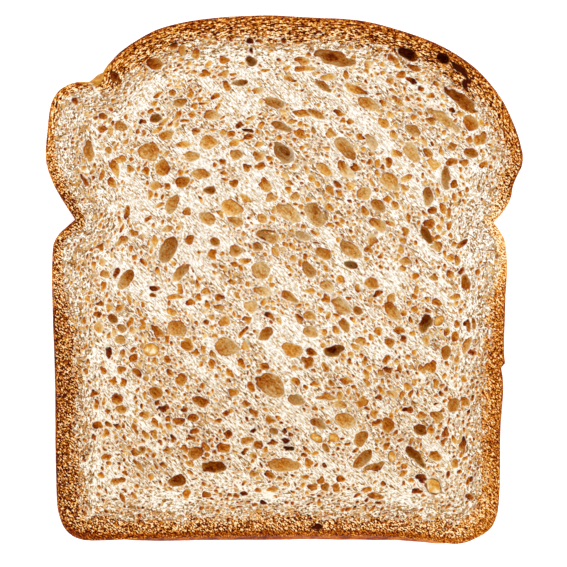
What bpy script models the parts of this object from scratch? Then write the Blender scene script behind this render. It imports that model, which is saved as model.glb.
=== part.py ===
"""One slice of pan bread with an overhanging crown, lying on its back face.

Metres, +Z up. The slice stands as it would on its heel in +Y: the crown is at +Y, the heel at -Y,
and the cut face that shows looks up along +Z. The origin is under the middle of the slice, on the
plane of the back face.

Places on the cut face are written in picture units, as (across, down) from the picture's upper left
corner, and to_plan() turns them into metres from the slice's real height.
"""
from __future__ import annotations

import math
import random
from dataclasses import dataclass

import bmesh
import bpy
from mathutils import Matrix, Vector

MM = 0.001

# Driving dimensions.
SLICE_HEIGHT = 130.0 * MM
SLICE_THICKNESS = 13.0 * MM
EDGE_SOFTENING = 0.5 * MM
OUTLINE_SPACING = 2.6 * MM
CRUST_WIDTH = 4.2 * MM

# The outer crust bellies out behind the cut face along the heel and across the left shoulder.
HEEL_LIP = 1.2 * MM
SHOULDER_BULGE = 0.5 * MM
WALL_RIPPLE = 0.18 * MM

# Picture units: where the slice's crown, heel and middle lie in the picture.
CROWN_DOWN = 15.0
HEEL_DOWN = 545.5
MIDDLE_ACROSS = 284.3
UNIT = SLICE_HEIGHT / (HEEL_DOWN - CROWN_DOWN)

# The outline of the cut face, counter-clockwise seen from above, in four smooth stretches that meet
# at the creases: the tin-shaped body, the wall above the nick on the right, the crown, the left lobe.
BODY = [(74.5, 219.5), (65, 228), (56.5, 237), (52.5, 250), (51.5, 285), (52.5, 320), (54.5, 380),
        (55, 440), (56.5, 500), (60.5, 521), (69, 534), (84, 540.5), (110, 540.5), (190, 538),
        (285, 536.8), (370, 536.5), (425, 540), (455, 544.5), (474, 540), (490, 530), (497.5, 515),
        (500, 490), (501, 430), (503.5, 388), (501.5, 368)]
RIGHT_WALL = [(505.5, 363.5), (504.5, 345), (506, 300), (507.5, 265), (504.5, 239), (494, 222.5)]
CROWN = [(494, 222.5), (503, 212.5), (510.5, 200), (514.5, 182), (521, 170), (523.5, 156), (516, 128),
         (502, 99), (479, 71), (448, 49), (410, 33), (360, 20), (310, 17), (262, 15), (205, 18.5),
         (160, 28), (127, 46), (112, 60), (103, 71.5), (98.7, 83), (95.5, 88.5)]
LEFT_LOBE = [(95.5, 88.5), (87, 81.5), (74, 82.5), (60, 89), (51, 103), (47, 130), (45.3, 158),
             (50, 177), (60, 197), (74.5, 219.5)]
SHOULDER_LEFT = (87, 81.5)
SHOULDER_RIGHT = (103, 71.5)
HEEL_LIP_SPAN = (95, 190, 430, 460)

# How far down the wall each ring of the slice lies, from the cut face (0) to the back face (1).
WALL_STEPS = (0.14, 0.36, 0.68)
BELLY_START = 0.05
BELLY_END = 0.42

# The large open bubbles of the cut face: across, down, length, width, tilt in degrees, depth in mm.
LARGE_BUBBLES = [
    (334, 58, 40, 16, -15, 2.6), (408, 54, 22, 12, -20, 4.6), (443, 58, 14, 11, -35, 4.6),
    (462, 101, 42, 12, -38, 3.0), (155, 64, 18, 12, 10, 1.8), (251, 61, 13, 9, -50, 4.0),
    (354, 89, 28, 10, -22, 1.2), (323, 86, 22, 8, -28, 1.8), (369, 104, 27, 11, -25, 1.2),
    (274, 103, 22, 11, -20, 2.0), (240, 83, 16, 7, 8, 2.0), (211, 115, 19, 9, -5, 1.2),
    (179, 103, 17, 9, 5, 1.6), (443, 119, 40, 11, -36, 1.2), (471, 123, 19, 12, -45, 1.9),
    (413, 131, 18, 11, -45, 1.7), (317, 114, 20, 8, -25, 1.4), (121, 126, 14, 9, -10, 1.5),
    (156, 118, 12, 9, 0, 3.4), (282, 127, 20, 8, -20, 1.6), (167, 135, 18, 10, 15, 1.6),
    (208, 142, 18, 14, 0, 0.9), (149, 152, 21, 20, 0, 0.9), (191, 156.5, 17, 10, 10, 1.2),
    (283, 152.5, 27, 15, -50, 3.4), (345, 148, 27, 14, -50, 2.0), (371, 142, 18, 10, -45, 1.2),
    (412, 152, 24, 12, -58, 1.2), (471, 153, 15, 11, -25, 2.4), (89, 152, 24, 11, -72, 1.7),
    (163, 168, 18, 14, 35, 1.7), (182, 182, 14, 13, 0, 2.4), (201, 174, 20, 11, 0, 1.0),
    (236, 155, 14, 11, 0, 1.2), (325, 170, 19, 11, -45, 1.0), (345.5, 169.5, 20, 11, -45, 0.9),
    (390, 182, 26, 14, -45, 1.2), (364, 193.5, 15, 13, 0, 1.4), (428, 197, 19, 11, -85, 1.9),
    (446, 178, 25, 9, -82, 2.2), (172, 203.5, 21, 12, 55, 1.7), (210, 190, 12, 10, 0, 3.0),
    (232, 207.5, 24, 14, -15, 1.2), (207, 219, 18, 12, -35, 1.0), (288.5, 212.5, 26, 16, -35, 0.8),
    (316, 214, 30, 18, -45, 2.0), (378, 206, 18, 11, -45, 1.9), (378, 225, 23, 11, -35, 1.4),
    (427, 235, 25, 9, -52, 3.6), (267, 236, 26, 12, -20, 1.7), (303, 236, 17, 9, -20, 1.5),
    (168, 249.5, 28, 17, 70, 3.2), (236, 251, 15, 11, -10, 1.6), (323, 253, 19, 11, -30, 2.0),
    (350, 249.5, 26, 14, -35, 1.6), (351, 265, 15, 8, -20, 4.0), (126, 279.5, 23, 12, 50, 1.9),
    (181, 272.5, 22, 11, 50, 1.9), (260, 271, 19, 17, 0, 1.0), (263, 292, 21, 10, -12, 0.8),
    (309, 270, 18, 11, -45, 2.0), (327, 286, 18, 11, -25, 0.8), (341, 306, 25, 13, -45, 1.0),
    (289, 297, 18, 9, -25, 2.0), (251, 307, 15, 12, -20, 1.2), (372, 283.5, 15, 12, -45, 1.7),
    (466, 282, 17, 11, -75, 2.4), (393, 312, 26, 11, -47, 1.6), (426, 323.5, 22, 12, 55, 4.0),
    (177, 328.5, 19, 17, -30, 1.6), (187, 345, 13, 12, 0, 2.0), (227, 347, 27, 17, -25, 1.6),
    (266, 334, 16, 11, 35, 2.2), (292, 350, 20, 15, -15, 1.5), (311, 332, 17, 11, -20, 1.6),
    (334, 351, 21, 12, 10, 4.4), (344, 325, 15, 10, -45, 2.0), (446, 352, 15, 9, 85, 2.2),
    (270, 385, 33, 21, -40, 1.7), (156, 393, 14, 13, 0, 2.4), (181, 380, 13, 12, 0, 1.5),
    (201, 402, 20, 11, -30, 2.0), (296, 400, 17, 12, -10, 1.9), (346, 421, 24, 15, -15, 1.3),
    (361, 439, 17, 13, 40, 2.2), (363, 459, 23, 12, 45, 2.4), (388, 425.5, 14, 14, 0, 2.2),
    (421, 430, 15, 11, -35, 3.2), (415, 456, 29, 11, -48, 3.6), (454, 405, 16, 12, 80, 1.7),
    (195, 453, 17, 12, 10, 1.7), (213, 467.5, 26, 13, 0, 3.4), (283, 465, 34, 13, 0, 1.7),
    (177, 481.5, 20, 11, 0, 3.4), (289, 448.5, 13, 6, -8, 4.4), (318, 423.5, 17, 9, -20, 1.8)]

# Pale grain kernels set in the crumb: across, down, length, width, tilt in degrees.
KERNELS = [(151, 350, 18, 16, 0), (439, 320.5, 14, 9, 50), (433.5, 486.5, 23, 16, -50),
           (316, 438, 15, 9, -30), (334, 438, 13, 10, -20), (392, 457, 14, 8, 90)]
KERNEL_SINK = 1.2 * MM
KERNEL_STAND = 0.35 * MM


@dataclass(frozen=True)
class BubbleField:
    """A rule for bubbles that are scattered by a seeded draw."""

    count: int
    shortest: float
    longest: float
    shallowest: float
    deepest: float
    seed: int


SMALL_FRONT = BubbleField(24, 1.9 * MM, 2.9 * MM, 1.0 * MM, 2.6 * MM, seed=11)
LARGE_BACK = BubbleField(28, 3.6 * MM, 7.4 * MM, 1.0 * MM, 3.6 * MM, seed=23)
SMALL_BACK = BubbleField(24, 1.9 * MM, 2.9 * MM, 1.0 * MM, 2.6 * MM, seed=37)
BUBBLE_GAP = 0.45 * MM
BACK_PLAIN_RADIUS = 5.0 * MM
FLATTEST = 0.5
ROUNDEST = 0.95
FLOW_TILT = -38.0
TILT_SPREAD = 22.0
TRIES_PER_BUBBLE = 400

# Facets of a bubble round its rim and from pole to pole, by the length that they serve up to.
FACETS_BY_LENGTH = ((3.0 * MM, (7, 4)), (5.4 * MM, (10, 4)), (math.inf, (13, 6)))
KERNEL_FACETS = (8, 6)
LOBES = ((2, 0.07), (3, 0.05))

# Finishes: name, linear colour, roughness.
FINISHES = (("crumb", (0.73, 0.53, 0.33), 0.85), ("crust", (0.40, 0.16, 0.055), 0.6),
            ("grain", (0.80, 0.53, 0.19), 0.5))
CRUMB, CRUST, GRAIN = range(len(FINISHES))
STEEPEST_FACE = 0.9


@dataclass(frozen=True)
class Bubble:
    """One bubble cut open by the knife: an oval bowl sunk into a face."""

    centre: Vector
    length: float
    width: float
    tilt: float
    depth: float

    def reach(self, towards: Vector) -> float:
        """Return how far the rim lies from the centre in the direction `towards`."""
        angle = math.atan2(towards.y, towards.x) - self.tilt
        half_length = self.length / 2
        half_width = self.width / 2
        return half_length * half_width / math.hypot(half_width * math.cos(angle),
                                                     half_length * math.sin(angle))

    def clears(self, other: "Bubble") -> bool:
        """Return whether the wall left between two bubbles is thick enough."""
        apart = other.centre - self.centre
        return apart.length > self.reach(apart) + other.reach(apart) + BUBBLE_GAP


def to_plan(across: float, down: float) -> Vector:
    """Return the place on the slice, in metres, of a point in picture units."""
    return Vector(((across - MIDDLE_ACROSS) * UNIT, ((CROWN_DOWN + HEEL_DOWN) / 2 - down) * UNIT))


def ease(value: float, start: float, end: float) -> float:
    """Return 0 before `start`, 1 after `end`, and a smooth step between them."""
    share = min(max((value - start) / (end - start), 0.0), 1.0)
    return share * share * (3 - 2 * share)


def curve_point(before: Vector, start: Vector, end: Vector, after: Vector, share: float) -> Vector:
    """Return the point at `share` of the way from start to end on a smooth curve through them."""
    leave = (end - before) / 2
    arrive = (after - start) / 2
    square = share * share
    cube = square * share
    return ((2 * cube - 3 * square + 1) * start + (cube - 2 * square + share) * leave
            + (3 * square - 2 * cube) * end + (cube - square) * arrive)


def smooth_stretch(readings: list[tuple[float, float]]) -> list[Vector]:
    """Return evenly spaced points on a smooth curve through one stretch's readings."""
    knots = [to_plan(*reading) for reading in readings]
    knots = [2 * knots[0] - knots[1], *knots, 2 * knots[-1] - knots[-2]]
    steps = 24
    fine = [curve_point(*knots[index:index + 4], step / steps)
            for index in range(len(knots) - 3) for step in range(steps)]
    fine.append(knots[-2])
    lengths = [0.0]
    for first, second in zip(fine, fine[1:]):
        lengths.append(lengths[-1] + (second - first).length)
    count = max(2, round(lengths[-1] / OUTLINE_SPACING))
    points = []
    index = 0
    for number in range(count + 1):
        target = lengths[-1] * number / count
        while index < len(lengths) - 2 and lengths[index + 1] < target:
            index += 1
        share = (target - lengths[index]) / (lengths[index + 1] - lengths[index])
        points.append(fine[index].lerp(fine[index + 1], share))
    return points


def cut_face_outline() -> list[Vector]:
    """Return the outline of the cut face as one closed ring of points."""
    outline = []
    for stretch in (BODY, RIGHT_WALL, CROWN, LEFT_LOBE):
        for point in smooth_stretch(stretch):
            if not outline or (point - outline[-1]).length > EDGE_SOFTENING:
                outline.append(point)
    outline.pop()
    return outline


def outward(ring: list[Vector], index: int) -> Vector:
    """Return the outward direction of a ring at one of its points."""
    along = ring[(index + 1) % len(ring)] - ring[index - 1]
    return Vector((along.y, -along.x)).normalized()


def heel_shift(point: Vector) -> Vector:
    """Return how far the heel's outer crust bellies out behind a point of the outline."""
    first, full, last_full, last = (to_plan(across, HEEL_DOWN).x for across in HEEL_LIP_SPAN)
    reach = ease(point.x, first, full) * (1 - ease(point.x, last_full, last))
    near_heel = 1 - ease(point.y, to_plan(0, HEEL_DOWN - 8).y, to_plan(0, HEEL_DOWN - 30).y)
    return Vector((0, -HEEL_LIP * reach * near_heel))


def shoulder_shift(point: Vector) -> Vector:
    """Return the move that carries a point of the left shoulder's crease onto the crust behind it."""
    start = to_plan(*SHOULDER_LEFT)
    chord = to_plan(*SHOULDER_RIGHT) - start
    share = (point - start).dot(chord) / chord.length_squared
    below = chord.cross(point - start) / chord.length
    crease_depth = 4.0 * MM
    if not 0 < share < 1 or not -crease_depth < below < 0:
        return Vector((0, 0))
    bulge = Vector((-chord.y, chord.x)).normalized() * SHOULDER_BULGE * 4 * share * (1 - share)
    return start + chord * share + bulge - point


def wall_ring(outline: list[Vector], share: float, inset: float) -> list[Vector]:
    """Return the slice's outline at one depth, from 0 at the cut face to 1 at the back face."""
    belly = ease(share, BELLY_START, BELLY_END)
    ring = []
    for index, point in enumerate(outline):
        turn = 2 * math.pi * index / len(outline)
        ripple = math.sin(9 * turn + 5 * share) + math.sin(17 * turn - 7 * share)
        ripple_size = WALL_RIPPLE * 4 * share * (1 - share)
        shift = (heel_shift(point) + shoulder_shift(point)) * belly
        ring.append(point + shift + outward(outline, index) * (ripple * ripple_size / 2 - inset))
    return ring


def slice_mesh(outline: list[Vector]) -> bpy.types.Mesh:
    """Return the plain slice: rings from the back face up to the cut face, closed at both ends."""
    soft = EDGE_SOFTENING / SLICE_THICKNESS
    levels = [(0.0, EDGE_SOFTENING), (soft, 0.0), *((share, 0.0) for share in WALL_STEPS),
              (1 - soft, 0.0), (1.0, EDGE_SOFTENING)]
    model = bmesh.new()
    loops = []
    for share, inset in reversed(levels):
        height = SLICE_THICKNESS * (1 - share)
        ring = wall_ring(outline, share, inset)
        loops.append([model.verts.new((*point, height)) for point in ring])
    for lower, upper in zip(loops, loops[1:]):
        for index in range(len(lower)):
            ahead = (index + 1) % len(lower)
            model.faces.new((lower[index], lower[ahead], upper[ahead], upper[index]))
    model.faces.new(reversed(loops[0]))
    model.faces.new(loops[-1])
    mesh = bpy.data.meshes.new("bread_slice")
    model.to_mesh(mesh)
    model.free()
    return mesh


def margin(point: Vector, outline: list[Vector]) -> float:
    """Return how far inside the outline a point lies, or a negative distance outside it."""
    nearest = math.inf
    crossings = 0
    for start, end in zip(outline, outline[1:] + outline[:1]):
        chord = end - start
        share = min(max((point - start).dot(chord) / chord.length_squared, 0.0), 1.0)
        nearest = min(nearest, (start + chord * share - point).length)
        if (start.y > point.y) != (end.y > point.y):
            crossings += point.x < start.x + (point.y - start.y) * chord.x / chord.y
    return nearest if crossings % 2 else -nearest


def read_bubbles() -> list[Bubble]:
    """Return the large bubbles of the cut face."""
    return [Bubble(to_plan(across, down), length * UNIT, width * UNIT, math.radians(tilt), depth * MM)
            for across, down, length, width, tilt, depth in LARGE_BUBBLES]


def drawn_bubble(field: BubbleField, draw: random.Random, outline: list[Vector]) -> Bubble | None:
    """Return one bubble drawn at random, or None where it would break into the crust."""
    corner = to_plan(0, 0)
    centre = Vector((draw.uniform(corner.x, -corner.x), draw.uniform(-corner.y, corner.y)))
    length = draw.uniform(field.shortest, field.longest)
    width = length * draw.uniform(FLATTEST, ROUNDEST)
    depth = draw.uniform(field.shallowest, field.deepest)
    room = margin(centre, outline)
    along_wall = 90 if room < 3 * CRUST_WIDTH else FLOW_TILT
    tilt = math.radians(along_wall + draw.uniform(-TILT_SPREAD, TILT_SPREAD))
    if room < CRUST_WIDTH + length / 2:
        return None
    return Bubble(centre, length, width, tilt, min(depth, width))


def scatter(field: BubbleField, outline: list[Vector], taken: list[Bubble]) -> list[Bubble]:
    """Return bubbles spread over a face by the field's rule, clear of those already there."""
    draw = random.Random(field.seed)
    placed = []
    for _ in range(field.count * TRIES_PER_BUBBLE):
        if len(placed) == field.count:
            break
        bubble = drawn_bubble(field, draw, outline)
        if bubble and all(bubble.clears(other) for other in taken + placed):
            placed.append(bubble)
    return placed


def oval_solid(name: str, oval: Bubble, height: float, facets: tuple[int, int],
               phase: float) -> bpy.types.Object:
    """Return a slightly lobed oval stone whose middle lies at the given height."""
    model = bmesh.new()
    bmesh.ops.create_uvsphere(model, u_segments=facets[0], v_segments=facets[1], radius=1)
    for vert in model.verts:
        angle = math.atan2(vert.co.y, vert.co.x)
        swell = 1 + sum(size * math.cos(count * angle + phase * count) for count, size in LOBES)
        vert.co.x *= swell
        vert.co.y *= swell
    size = Matrix.Diagonal((oval.length / 2, oval.width / 2, oval.depth, 1))
    turn = Matrix.Rotation(oval.tilt, 4, "Z")
    place = Matrix.Translation((*oval.centre, height))
    model.transform(place @ turn @ size)
    mesh = bpy.data.meshes.new(name)
    model.to_mesh(mesh)
    model.free()
    return bpy.data.objects.new(name, mesh)


def collection_of(name: str, objects: list[bpy.types.Object]) -> bpy.types.Collection:
    """Return a new collection in the scene that holds the given guide objects."""
    group = bpy.data.collections.new(name)
    bpy.context.scene.collection.children.link(group)
    for guide in objects:
        guide.hide_render = True
        guide.display_type = "WIRE"
        group.objects.link(guide)
    return group


def bowls(name: str, bubbles: list[Bubble], height: float) -> list[bpy.types.Object]:
    """Return the cutters of one face's bubbles."""
    cutters = []
    for number, bubble in enumerate(bubbles):
        facets = next(facets for longest, facets in FACETS_BY_LENGTH if bubble.length < longest)
        cutters.append(oval_solid(f"{name}_{number:03d}", bubble, height, facets, phase=number))
    return cutters


def kernel_ovals() -> list[Bubble]:
    """Return the room that each grain kernel takes in the cut face."""
    half_depth = (KERNEL_STAND + KERNEL_SINK) / 2
    return [Bubble(to_plan(across, down), length * UNIT, width * UNIT, math.radians(tilt), half_depth)
            for across, down, length, width, tilt in KERNELS]


def kernel_solids() -> list[bpy.types.Object]:
    """Return the grain kernels, mostly sunk in the cut face."""
    middle = SLICE_THICKNESS + (KERNEL_STAND - KERNEL_SINK) / 2
    return [oval_solid(f"kernel_{number}", oval, middle, KERNEL_FACETS, phase=number)
            for number, oval in enumerate(kernel_ovals())]


def apply_boolean(target: bpy.types.Object, operation: str, group: bpy.types.Collection) -> None:
    """Cut a collection from the target, or join it on, and remove the collection's objects."""
    tool = target.modifiers.new(operation.lower(), "BOOLEAN")
    tool.operand_type = "COLLECTION"
    tool.collection = group
    tool.operation = operation
    depsgraph = bpy.context.evaluated_depsgraph_get()
    result = bpy.data.meshes.new_from_object(target.evaluated_get(depsgraph))
    target.modifiers.clear()
    target.data = result
    for guide in list(group.objects):
        bpy.data.objects.remove(guide)
    bpy.data.collections.remove(group)


def principled(name: str, colour: tuple[float, float, float], roughness: float) -> bpy.types.Material:
    """Return a Principled material with one colour and roughness."""
    material = bpy.data.materials.new(name)
    material.use_nodes = True
    shader = material.node_tree.nodes["Principled BSDF"]
    shader.inputs["Base Color"].default_value = (*colour, 1)
    shader.inputs["Roughness"].default_value = roughness
    return material


def finish_of(face: bpy.types.MeshPolygon, outline: list[Vector]) -> int:
    """Return which finish a face of the slice takes."""
    if face.center.z > SLICE_THICKNESS + KERNEL_STAND / 10:
        return GRAIN
    if abs(face.normal.z) < STEEPEST_FACE and margin(face.center.xy, outline) < EDGE_SOFTENING:
        return CRUST
    return CRUMB


def colour_faces(mesh: bpy.types.Mesh, outline: list[Vector]) -> None:
    """Give the wall the crust's material, the kernels the grain's and the rest the crumb's."""
    mesh.materials.clear()
    for finish in FINISHES:
        mesh.materials.append(principled(*finish))
    for face in mesh.polygons:
        face.material_index = finish_of(face, outline)


def centre_on_origin(mesh: bpy.types.Mesh) -> None:
    """Move the mesh so that its box stands on the origin's plane, centred over the origin."""
    low = Vector([min(vert.co[axis] for vert in mesh.vertices) for axis in range(3)])
    high = Vector([max(vert.co[axis] for vert in mesh.vertices) for axis in range(3)])
    mesh.transform(Matrix.Translation((-(low.x + high.x) / 2, -(low.y + high.y) / 2, -low.z)))


def clear_scene() -> None:
    """Remove the objects that the scene starts with."""
    for leftover in list(bpy.data.objects):
        bpy.data.objects.remove(leftover, do_unlink=True)


def main() -> None:
    """Build the slice."""
    clear_scene()
    outline = cut_face_outline()
    bread = bpy.data.objects.new("bread_slice", slice_mesh(outline))
    bpy.context.scene.collection.objects.link(bread)

    front = read_bubbles()
    front += scatter(SMALL_FRONT, outline, front + kernel_ovals())
    plain_spot = Bubble(Vector((0, 0)), 2 * BACK_PLAIN_RADIUS, 2 * BACK_PLAIN_RADIUS, 0, 0)
    back = scatter(LARGE_BACK, outline, [plain_spot])
    back += scatter(SMALL_BACK, outline, [plain_spot, *back])

    cutters = bowls("front", front, SLICE_THICKNESS) + bowls("back", back, 0.0)
    apply_boolean(bread, "DIFFERENCE", collection_of("bubbles", cutters))
    apply_boolean(bread, "UNION", collection_of("kernels", kernel_solids()))
    colour_faces(bread.data, outline)
    centre_on_origin(bread.data)


main()
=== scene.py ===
"""The looks of one slice of pan bread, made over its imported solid.

The slice lies on its back face with its cut face up and its crown at +Y. The solid gives the outline of
each face, the large bubbles and the grain kernels. This script gives the slice its fine open crumb on both
faces, its baked crust and its studio. Lengths are metres, and a name that ends in _MM is in millimetres.
"""
from __future__ import annotations

import logging
import math
from collections.abc import Callable
from dataclasses import dataclass, field, replace
from enum import Enum

import bmesh
import bpy
import numpy as np
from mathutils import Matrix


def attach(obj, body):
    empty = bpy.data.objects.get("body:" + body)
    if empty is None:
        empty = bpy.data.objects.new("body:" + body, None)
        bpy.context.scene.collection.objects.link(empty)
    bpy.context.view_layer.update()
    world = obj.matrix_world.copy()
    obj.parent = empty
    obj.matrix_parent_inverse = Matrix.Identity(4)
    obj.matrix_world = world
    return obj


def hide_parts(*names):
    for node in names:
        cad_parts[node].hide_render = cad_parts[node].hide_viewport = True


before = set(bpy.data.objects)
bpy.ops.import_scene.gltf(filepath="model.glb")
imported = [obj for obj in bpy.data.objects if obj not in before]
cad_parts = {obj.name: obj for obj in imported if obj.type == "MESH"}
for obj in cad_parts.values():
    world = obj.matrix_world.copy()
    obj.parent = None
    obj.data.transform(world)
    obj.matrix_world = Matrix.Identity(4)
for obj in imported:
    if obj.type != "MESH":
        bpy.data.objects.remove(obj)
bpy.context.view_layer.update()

LOG = logging.getLogger("bread_slice")

Piece = bpy.types.Object
Vert = bmesh.types.BMVert
Island = list[bmesh.types.BMFace]
Array = np.ndarray

MM = 0.001
NODE = "bread_slice"
BODY = "root"
SEAM = 0.01 * MM
BAKE_MAP = "OFBake"


class Side(Enum):
    """The two cut faces of the slice, and the way each looks along Z."""

    FRONT = 1
    BACK = -1


# --- Mesh helpers -------------------------------------------------------------------------------------


def deselect_all() -> None:
    """Leave nothing selected."""
    for item in bpy.context.selected_objects:
        item.select_set(False)


def listed(items: bpy.types.bpy_prop_collection, name: str, kind: type = int, width: int = 1) -> Array:
    """Return one property of all of a mesh's vertices, edges, corners or faces.

    Args:
        items: the vertices, edges, corners or faces.
        name: the property.
        kind: the type of its numbers.
        width: how many numbers each item has.

    Returns:
        One number for each item, or one row.
    """
    values = np.empty(len(items) * width, kind)
    items.foreach_get(name, values)
    return values.reshape(-1, width) if width > 1 else values


def coordinates(piece: Piece) -> Array:
    """Return a piece's vertices, one row each."""
    return listed(piece.data.vertices, "co", float, 3)


def set_coordinates(piece: Piece, places: Array) -> None:
    """Move a piece's vertices."""
    piece.data.vertices.foreach_set("co", places.ravel())
    piece.data.update()


def edge_ends(piece: Piece) -> Array:
    """Return the two vertices of each of a piece's edges."""
    return listed(piece.data.edges, "vertices", width=2)


def corner_verts(piece: Piece) -> Array:
    """Return the vertex at each face corner of a piece."""
    return listed(piece.data.loops, "vertex_index")


def face_sizes(piece: Piece) -> Array:
    """Return how many corners each face of a piece has."""
    return listed(piece.data.polygons, "loop_total")


def face_starts(piece: Piece) -> Array:
    """Return the first corner of each face of a piece."""
    return np.concatenate([[0], np.cumsum(face_sizes(piece))[:-1]])


def open_edges(piece: Piece) -> Array:
    """Return which of a piece's edges have one face only."""
    return np.bincount(listed(piece.data.loops, "edge_index"), minlength=len(piece.data.edges)) == 1


def select(piece: Piece, verts: Array, edges: Array, faces: Array) -> None:
    """Select parts of a piece, with one truth value for each vertex, edge and face."""
    mesh = piece.data
    for items, picked in ((mesh.vertices, verts), (mesh.edges, edges), (mesh.polygons, faces)):
        items.foreach_set("select", picked)


def select_verts(piece: Piece, chosen: Array) -> None:
    """Select the chosen vertices of a piece, with the edges and faces between them."""
    picked = np.zeros(len(piece.data.vertices), bool)
    picked[chosen] = True
    whole = np.logical_and.reduceat(picked[corner_verts(piece)], face_starts(piece))
    select(piece, picked, picked[edge_ends(piece)].all(1), whole)


def select_edges(piece: Piece, chosen: Array) -> None:
    """Select the chosen edges of a piece and their ends, and no face."""
    picked = np.zeros(len(piece.data.vertices), bool)
    picked[edge_ends(piece)[chosen].ravel()] = True
    select(piece, picked, chosen, np.zeros(len(piece.data.polygons), bool))


def edit(piece: Piece, work: Callable[[], object], mode: str = "VERT") -> None:
    """Run operators on a piece in edit mode.

    Args:
        piece: the piece to edit.
        work: a function without arguments that calls the operators.
        mode: what the operators select, VERT, EDGE or FACE.
    """
    deselect_all()
    piece.select_set(True)
    bpy.context.view_layer.objects.active = piece
    bpy.context.tool_settings.mesh_select_mode = (mode == "VERT", mode == "EDGE", mode == "FACE")
    bpy.ops.object.mode_set(mode="EDIT")
    work()
    bpy.ops.object.mode_set(mode="OBJECT")


def smooth_shell(piece: Piece, sharp: float) -> None:
    """Turn the faces of a closed piece outwards, and shade it smooth but for edges past an angle."""
    select_verts(piece, np.arange(len(piece.data.vertices)))
    edit(piece, lambda: bpy.ops.mesh.normals_make_consistent(inside=False))
    piece.data.shade_smooth()
    piece.data.set_sharp_from_angle(angle=sharp)


def named(name: str) -> Piece:
    """Return the active object, named with its mesh."""
    piece = bpy.context.active_object
    piece.name = name
    piece.data.name = name
    return piece


def grid_of(name: str, columns: int, rows: int) -> tuple[Piece, Array, Array]:
    """Add a flat grid as the start of a piece.

    Args:
        name: the piece's name.
        columns: how many vertices it has along X.
        rows: how many vertices it has along Y.

    Returns:
        The piece, and the column and the row of each of its vertices.
    """
    deselect_all()
    bpy.ops.mesh.primitive_grid_add(x_subdivisions=columns - 1, y_subdivisions=rows - 1, size=1)
    piece = named(name)
    places = coordinates(piece)
    column = np.rint((places[:, 0] + 0.5) * (columns - 1)).astype(int)
    row = np.rint((places[:, 1] + 0.5) * (rows - 1)).astype(int)
    return piece, column, row


def write_masks(piece: Piece, masks: dict[str, Array]) -> None:
    """Keep numbers for each vertex of a piece, for its finish to read."""
    for name, values in masks.items():
        layer = piece.data.attributes.new(name, "FLOAT", "POINT")
        layer.data.foreach_set("value", values.astype(np.float32))


def write_map(piece: Piece, spots: Array) -> None:
    """Give a piece its one map, with a spot in the unit square for each face corner."""
    for layer in list(piece.data.uv_layers):
        piece.data.uv_layers.remove(layer)
    layer = piece.data.uv_layers.new(name=BAKE_MAP)
    layer.data.foreach_set("uv", spots.astype(np.float32).ravel())


# --- Reading the solid --------------------------------------------------------------------------------


@dataclass(frozen=True)
class Bubble:
    """A lobed oval in a face: the mouth of a bubble that the knife opened, or a cut kernel.

    swell holds the mean reach of the rim round the oval, then a cosine and a sine share for each count of
    lobes. The inside carries painted shade on one side: it darkens by fade in the direction lean, as if light
    fell from the other side, and warm runs from 0, greyish tan, to 1, golden.
    The power of 2 is a round oval, and less than 2 has pointed ends.
    """

    x: float
    y: float
    half_length: float
    half_width: float
    tilt: float
    depth: float
    tone: float
    swell: tuple[float, ...] = (1.0,)
    shaded_side: float = 0.0
    fade: float = 0.0
    warm: float | None = None
    power: float = 2.0

    def reach(self) -> float:
        """Return the rim's furthest reach from the centre."""
        return self.half_length * (self.swell[0] + sum(abs(share) for share in self.swell[1:]))

    def oval_place(self, x: Array, y: Array) -> tuple[Array, Array]:
        """Return places along and across the oval, as shares of its half length and half width."""
        cosine, sine = math.cos(self.tilt), math.sin(self.tilt)
        along = ((x - self.x) * cosine + (y - self.y) * sine) / self.half_length
        across = ((y - self.y) * cosine - (x - self.x) * sine) / self.half_width
        return along, across

    def swell_at(self, turn: Array) -> Array:
        """Return the rim's reach at angles round the oval."""
        swell = np.full(turn.shape, self.swell[0])
        for index, share in enumerate(self.swell[1:]):
            count = index // 2 + 1
            swell = swell + share * (np.sin(count * turn) if index % 2 else np.cos(count * turn))
        return swell


def oval_of(rim: Array, lobes: int) -> tuple[float, float, float, float, float, tuple[float, ...]]:
    """Fit a lobed oval to the corners of a rim.

    Args:
        rim: the corners, one row each of x and y.
        lobes: how many lobe counts are fitted.

    Returns:
        The centre's x and y, the half length, the half width, the tilt and the swell.
    """
    centre = (rim.max(0) + rim.min(0)) / 2
    axes = np.eye(2)
    for _ in range(3):
        offset = rim - centre
        axes = np.linalg.eigh(offset.T @ offset)[1]
        spans = offset @ axes
        centre = centre + axes @ ((spans.max(0) + spans.min(0)) / 2)
    long_axis = axes[:, 1]
    wide_axis = np.array([-long_axis[1], long_axis[0]])
    along = (rim - centre) @ long_axis
    across = (rim - centre) @ wide_axis
    half_length = np.ptp(along) / 2
    half_width = np.ptp(across) / 2
    turn = np.arctan2(across / half_width, along / half_length)
    waves = [np.ones_like(turn)]
    for count in range(1, lobes + 1):
        waves += [np.cos(count * turn), np.sin(count * turn)]
    reach = np.hypot(along / half_length, across / half_width)
    swell = np.linalg.lstsq(np.stack(waves, 1), reach, rcond=None)[0]
    tilt = math.atan2(long_axis[1], long_axis[0])
    return centre[0], centre[1], half_length, half_width, tilt, tuple(float(share) for share in swell)


# How dark a bubble's inside is painted, from 0, pale, to 1, nearly black, by its depth: painted shade, darker
# in a deeper hollow.
DEPTHS_MM = (0.8, 1.2, 1.6, 2.0, 2.4, 3.0, 3.6, 4.6)
SHADE_TONES = (0.32, 0.35, 0.37, 0.38, 0.38, 0.40, 0.41, 0.44)
BOWL_DEPTH_SHARE = 0.9
FULL_RIM_CORNERS = 9
FULL_LOBES = 3


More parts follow.
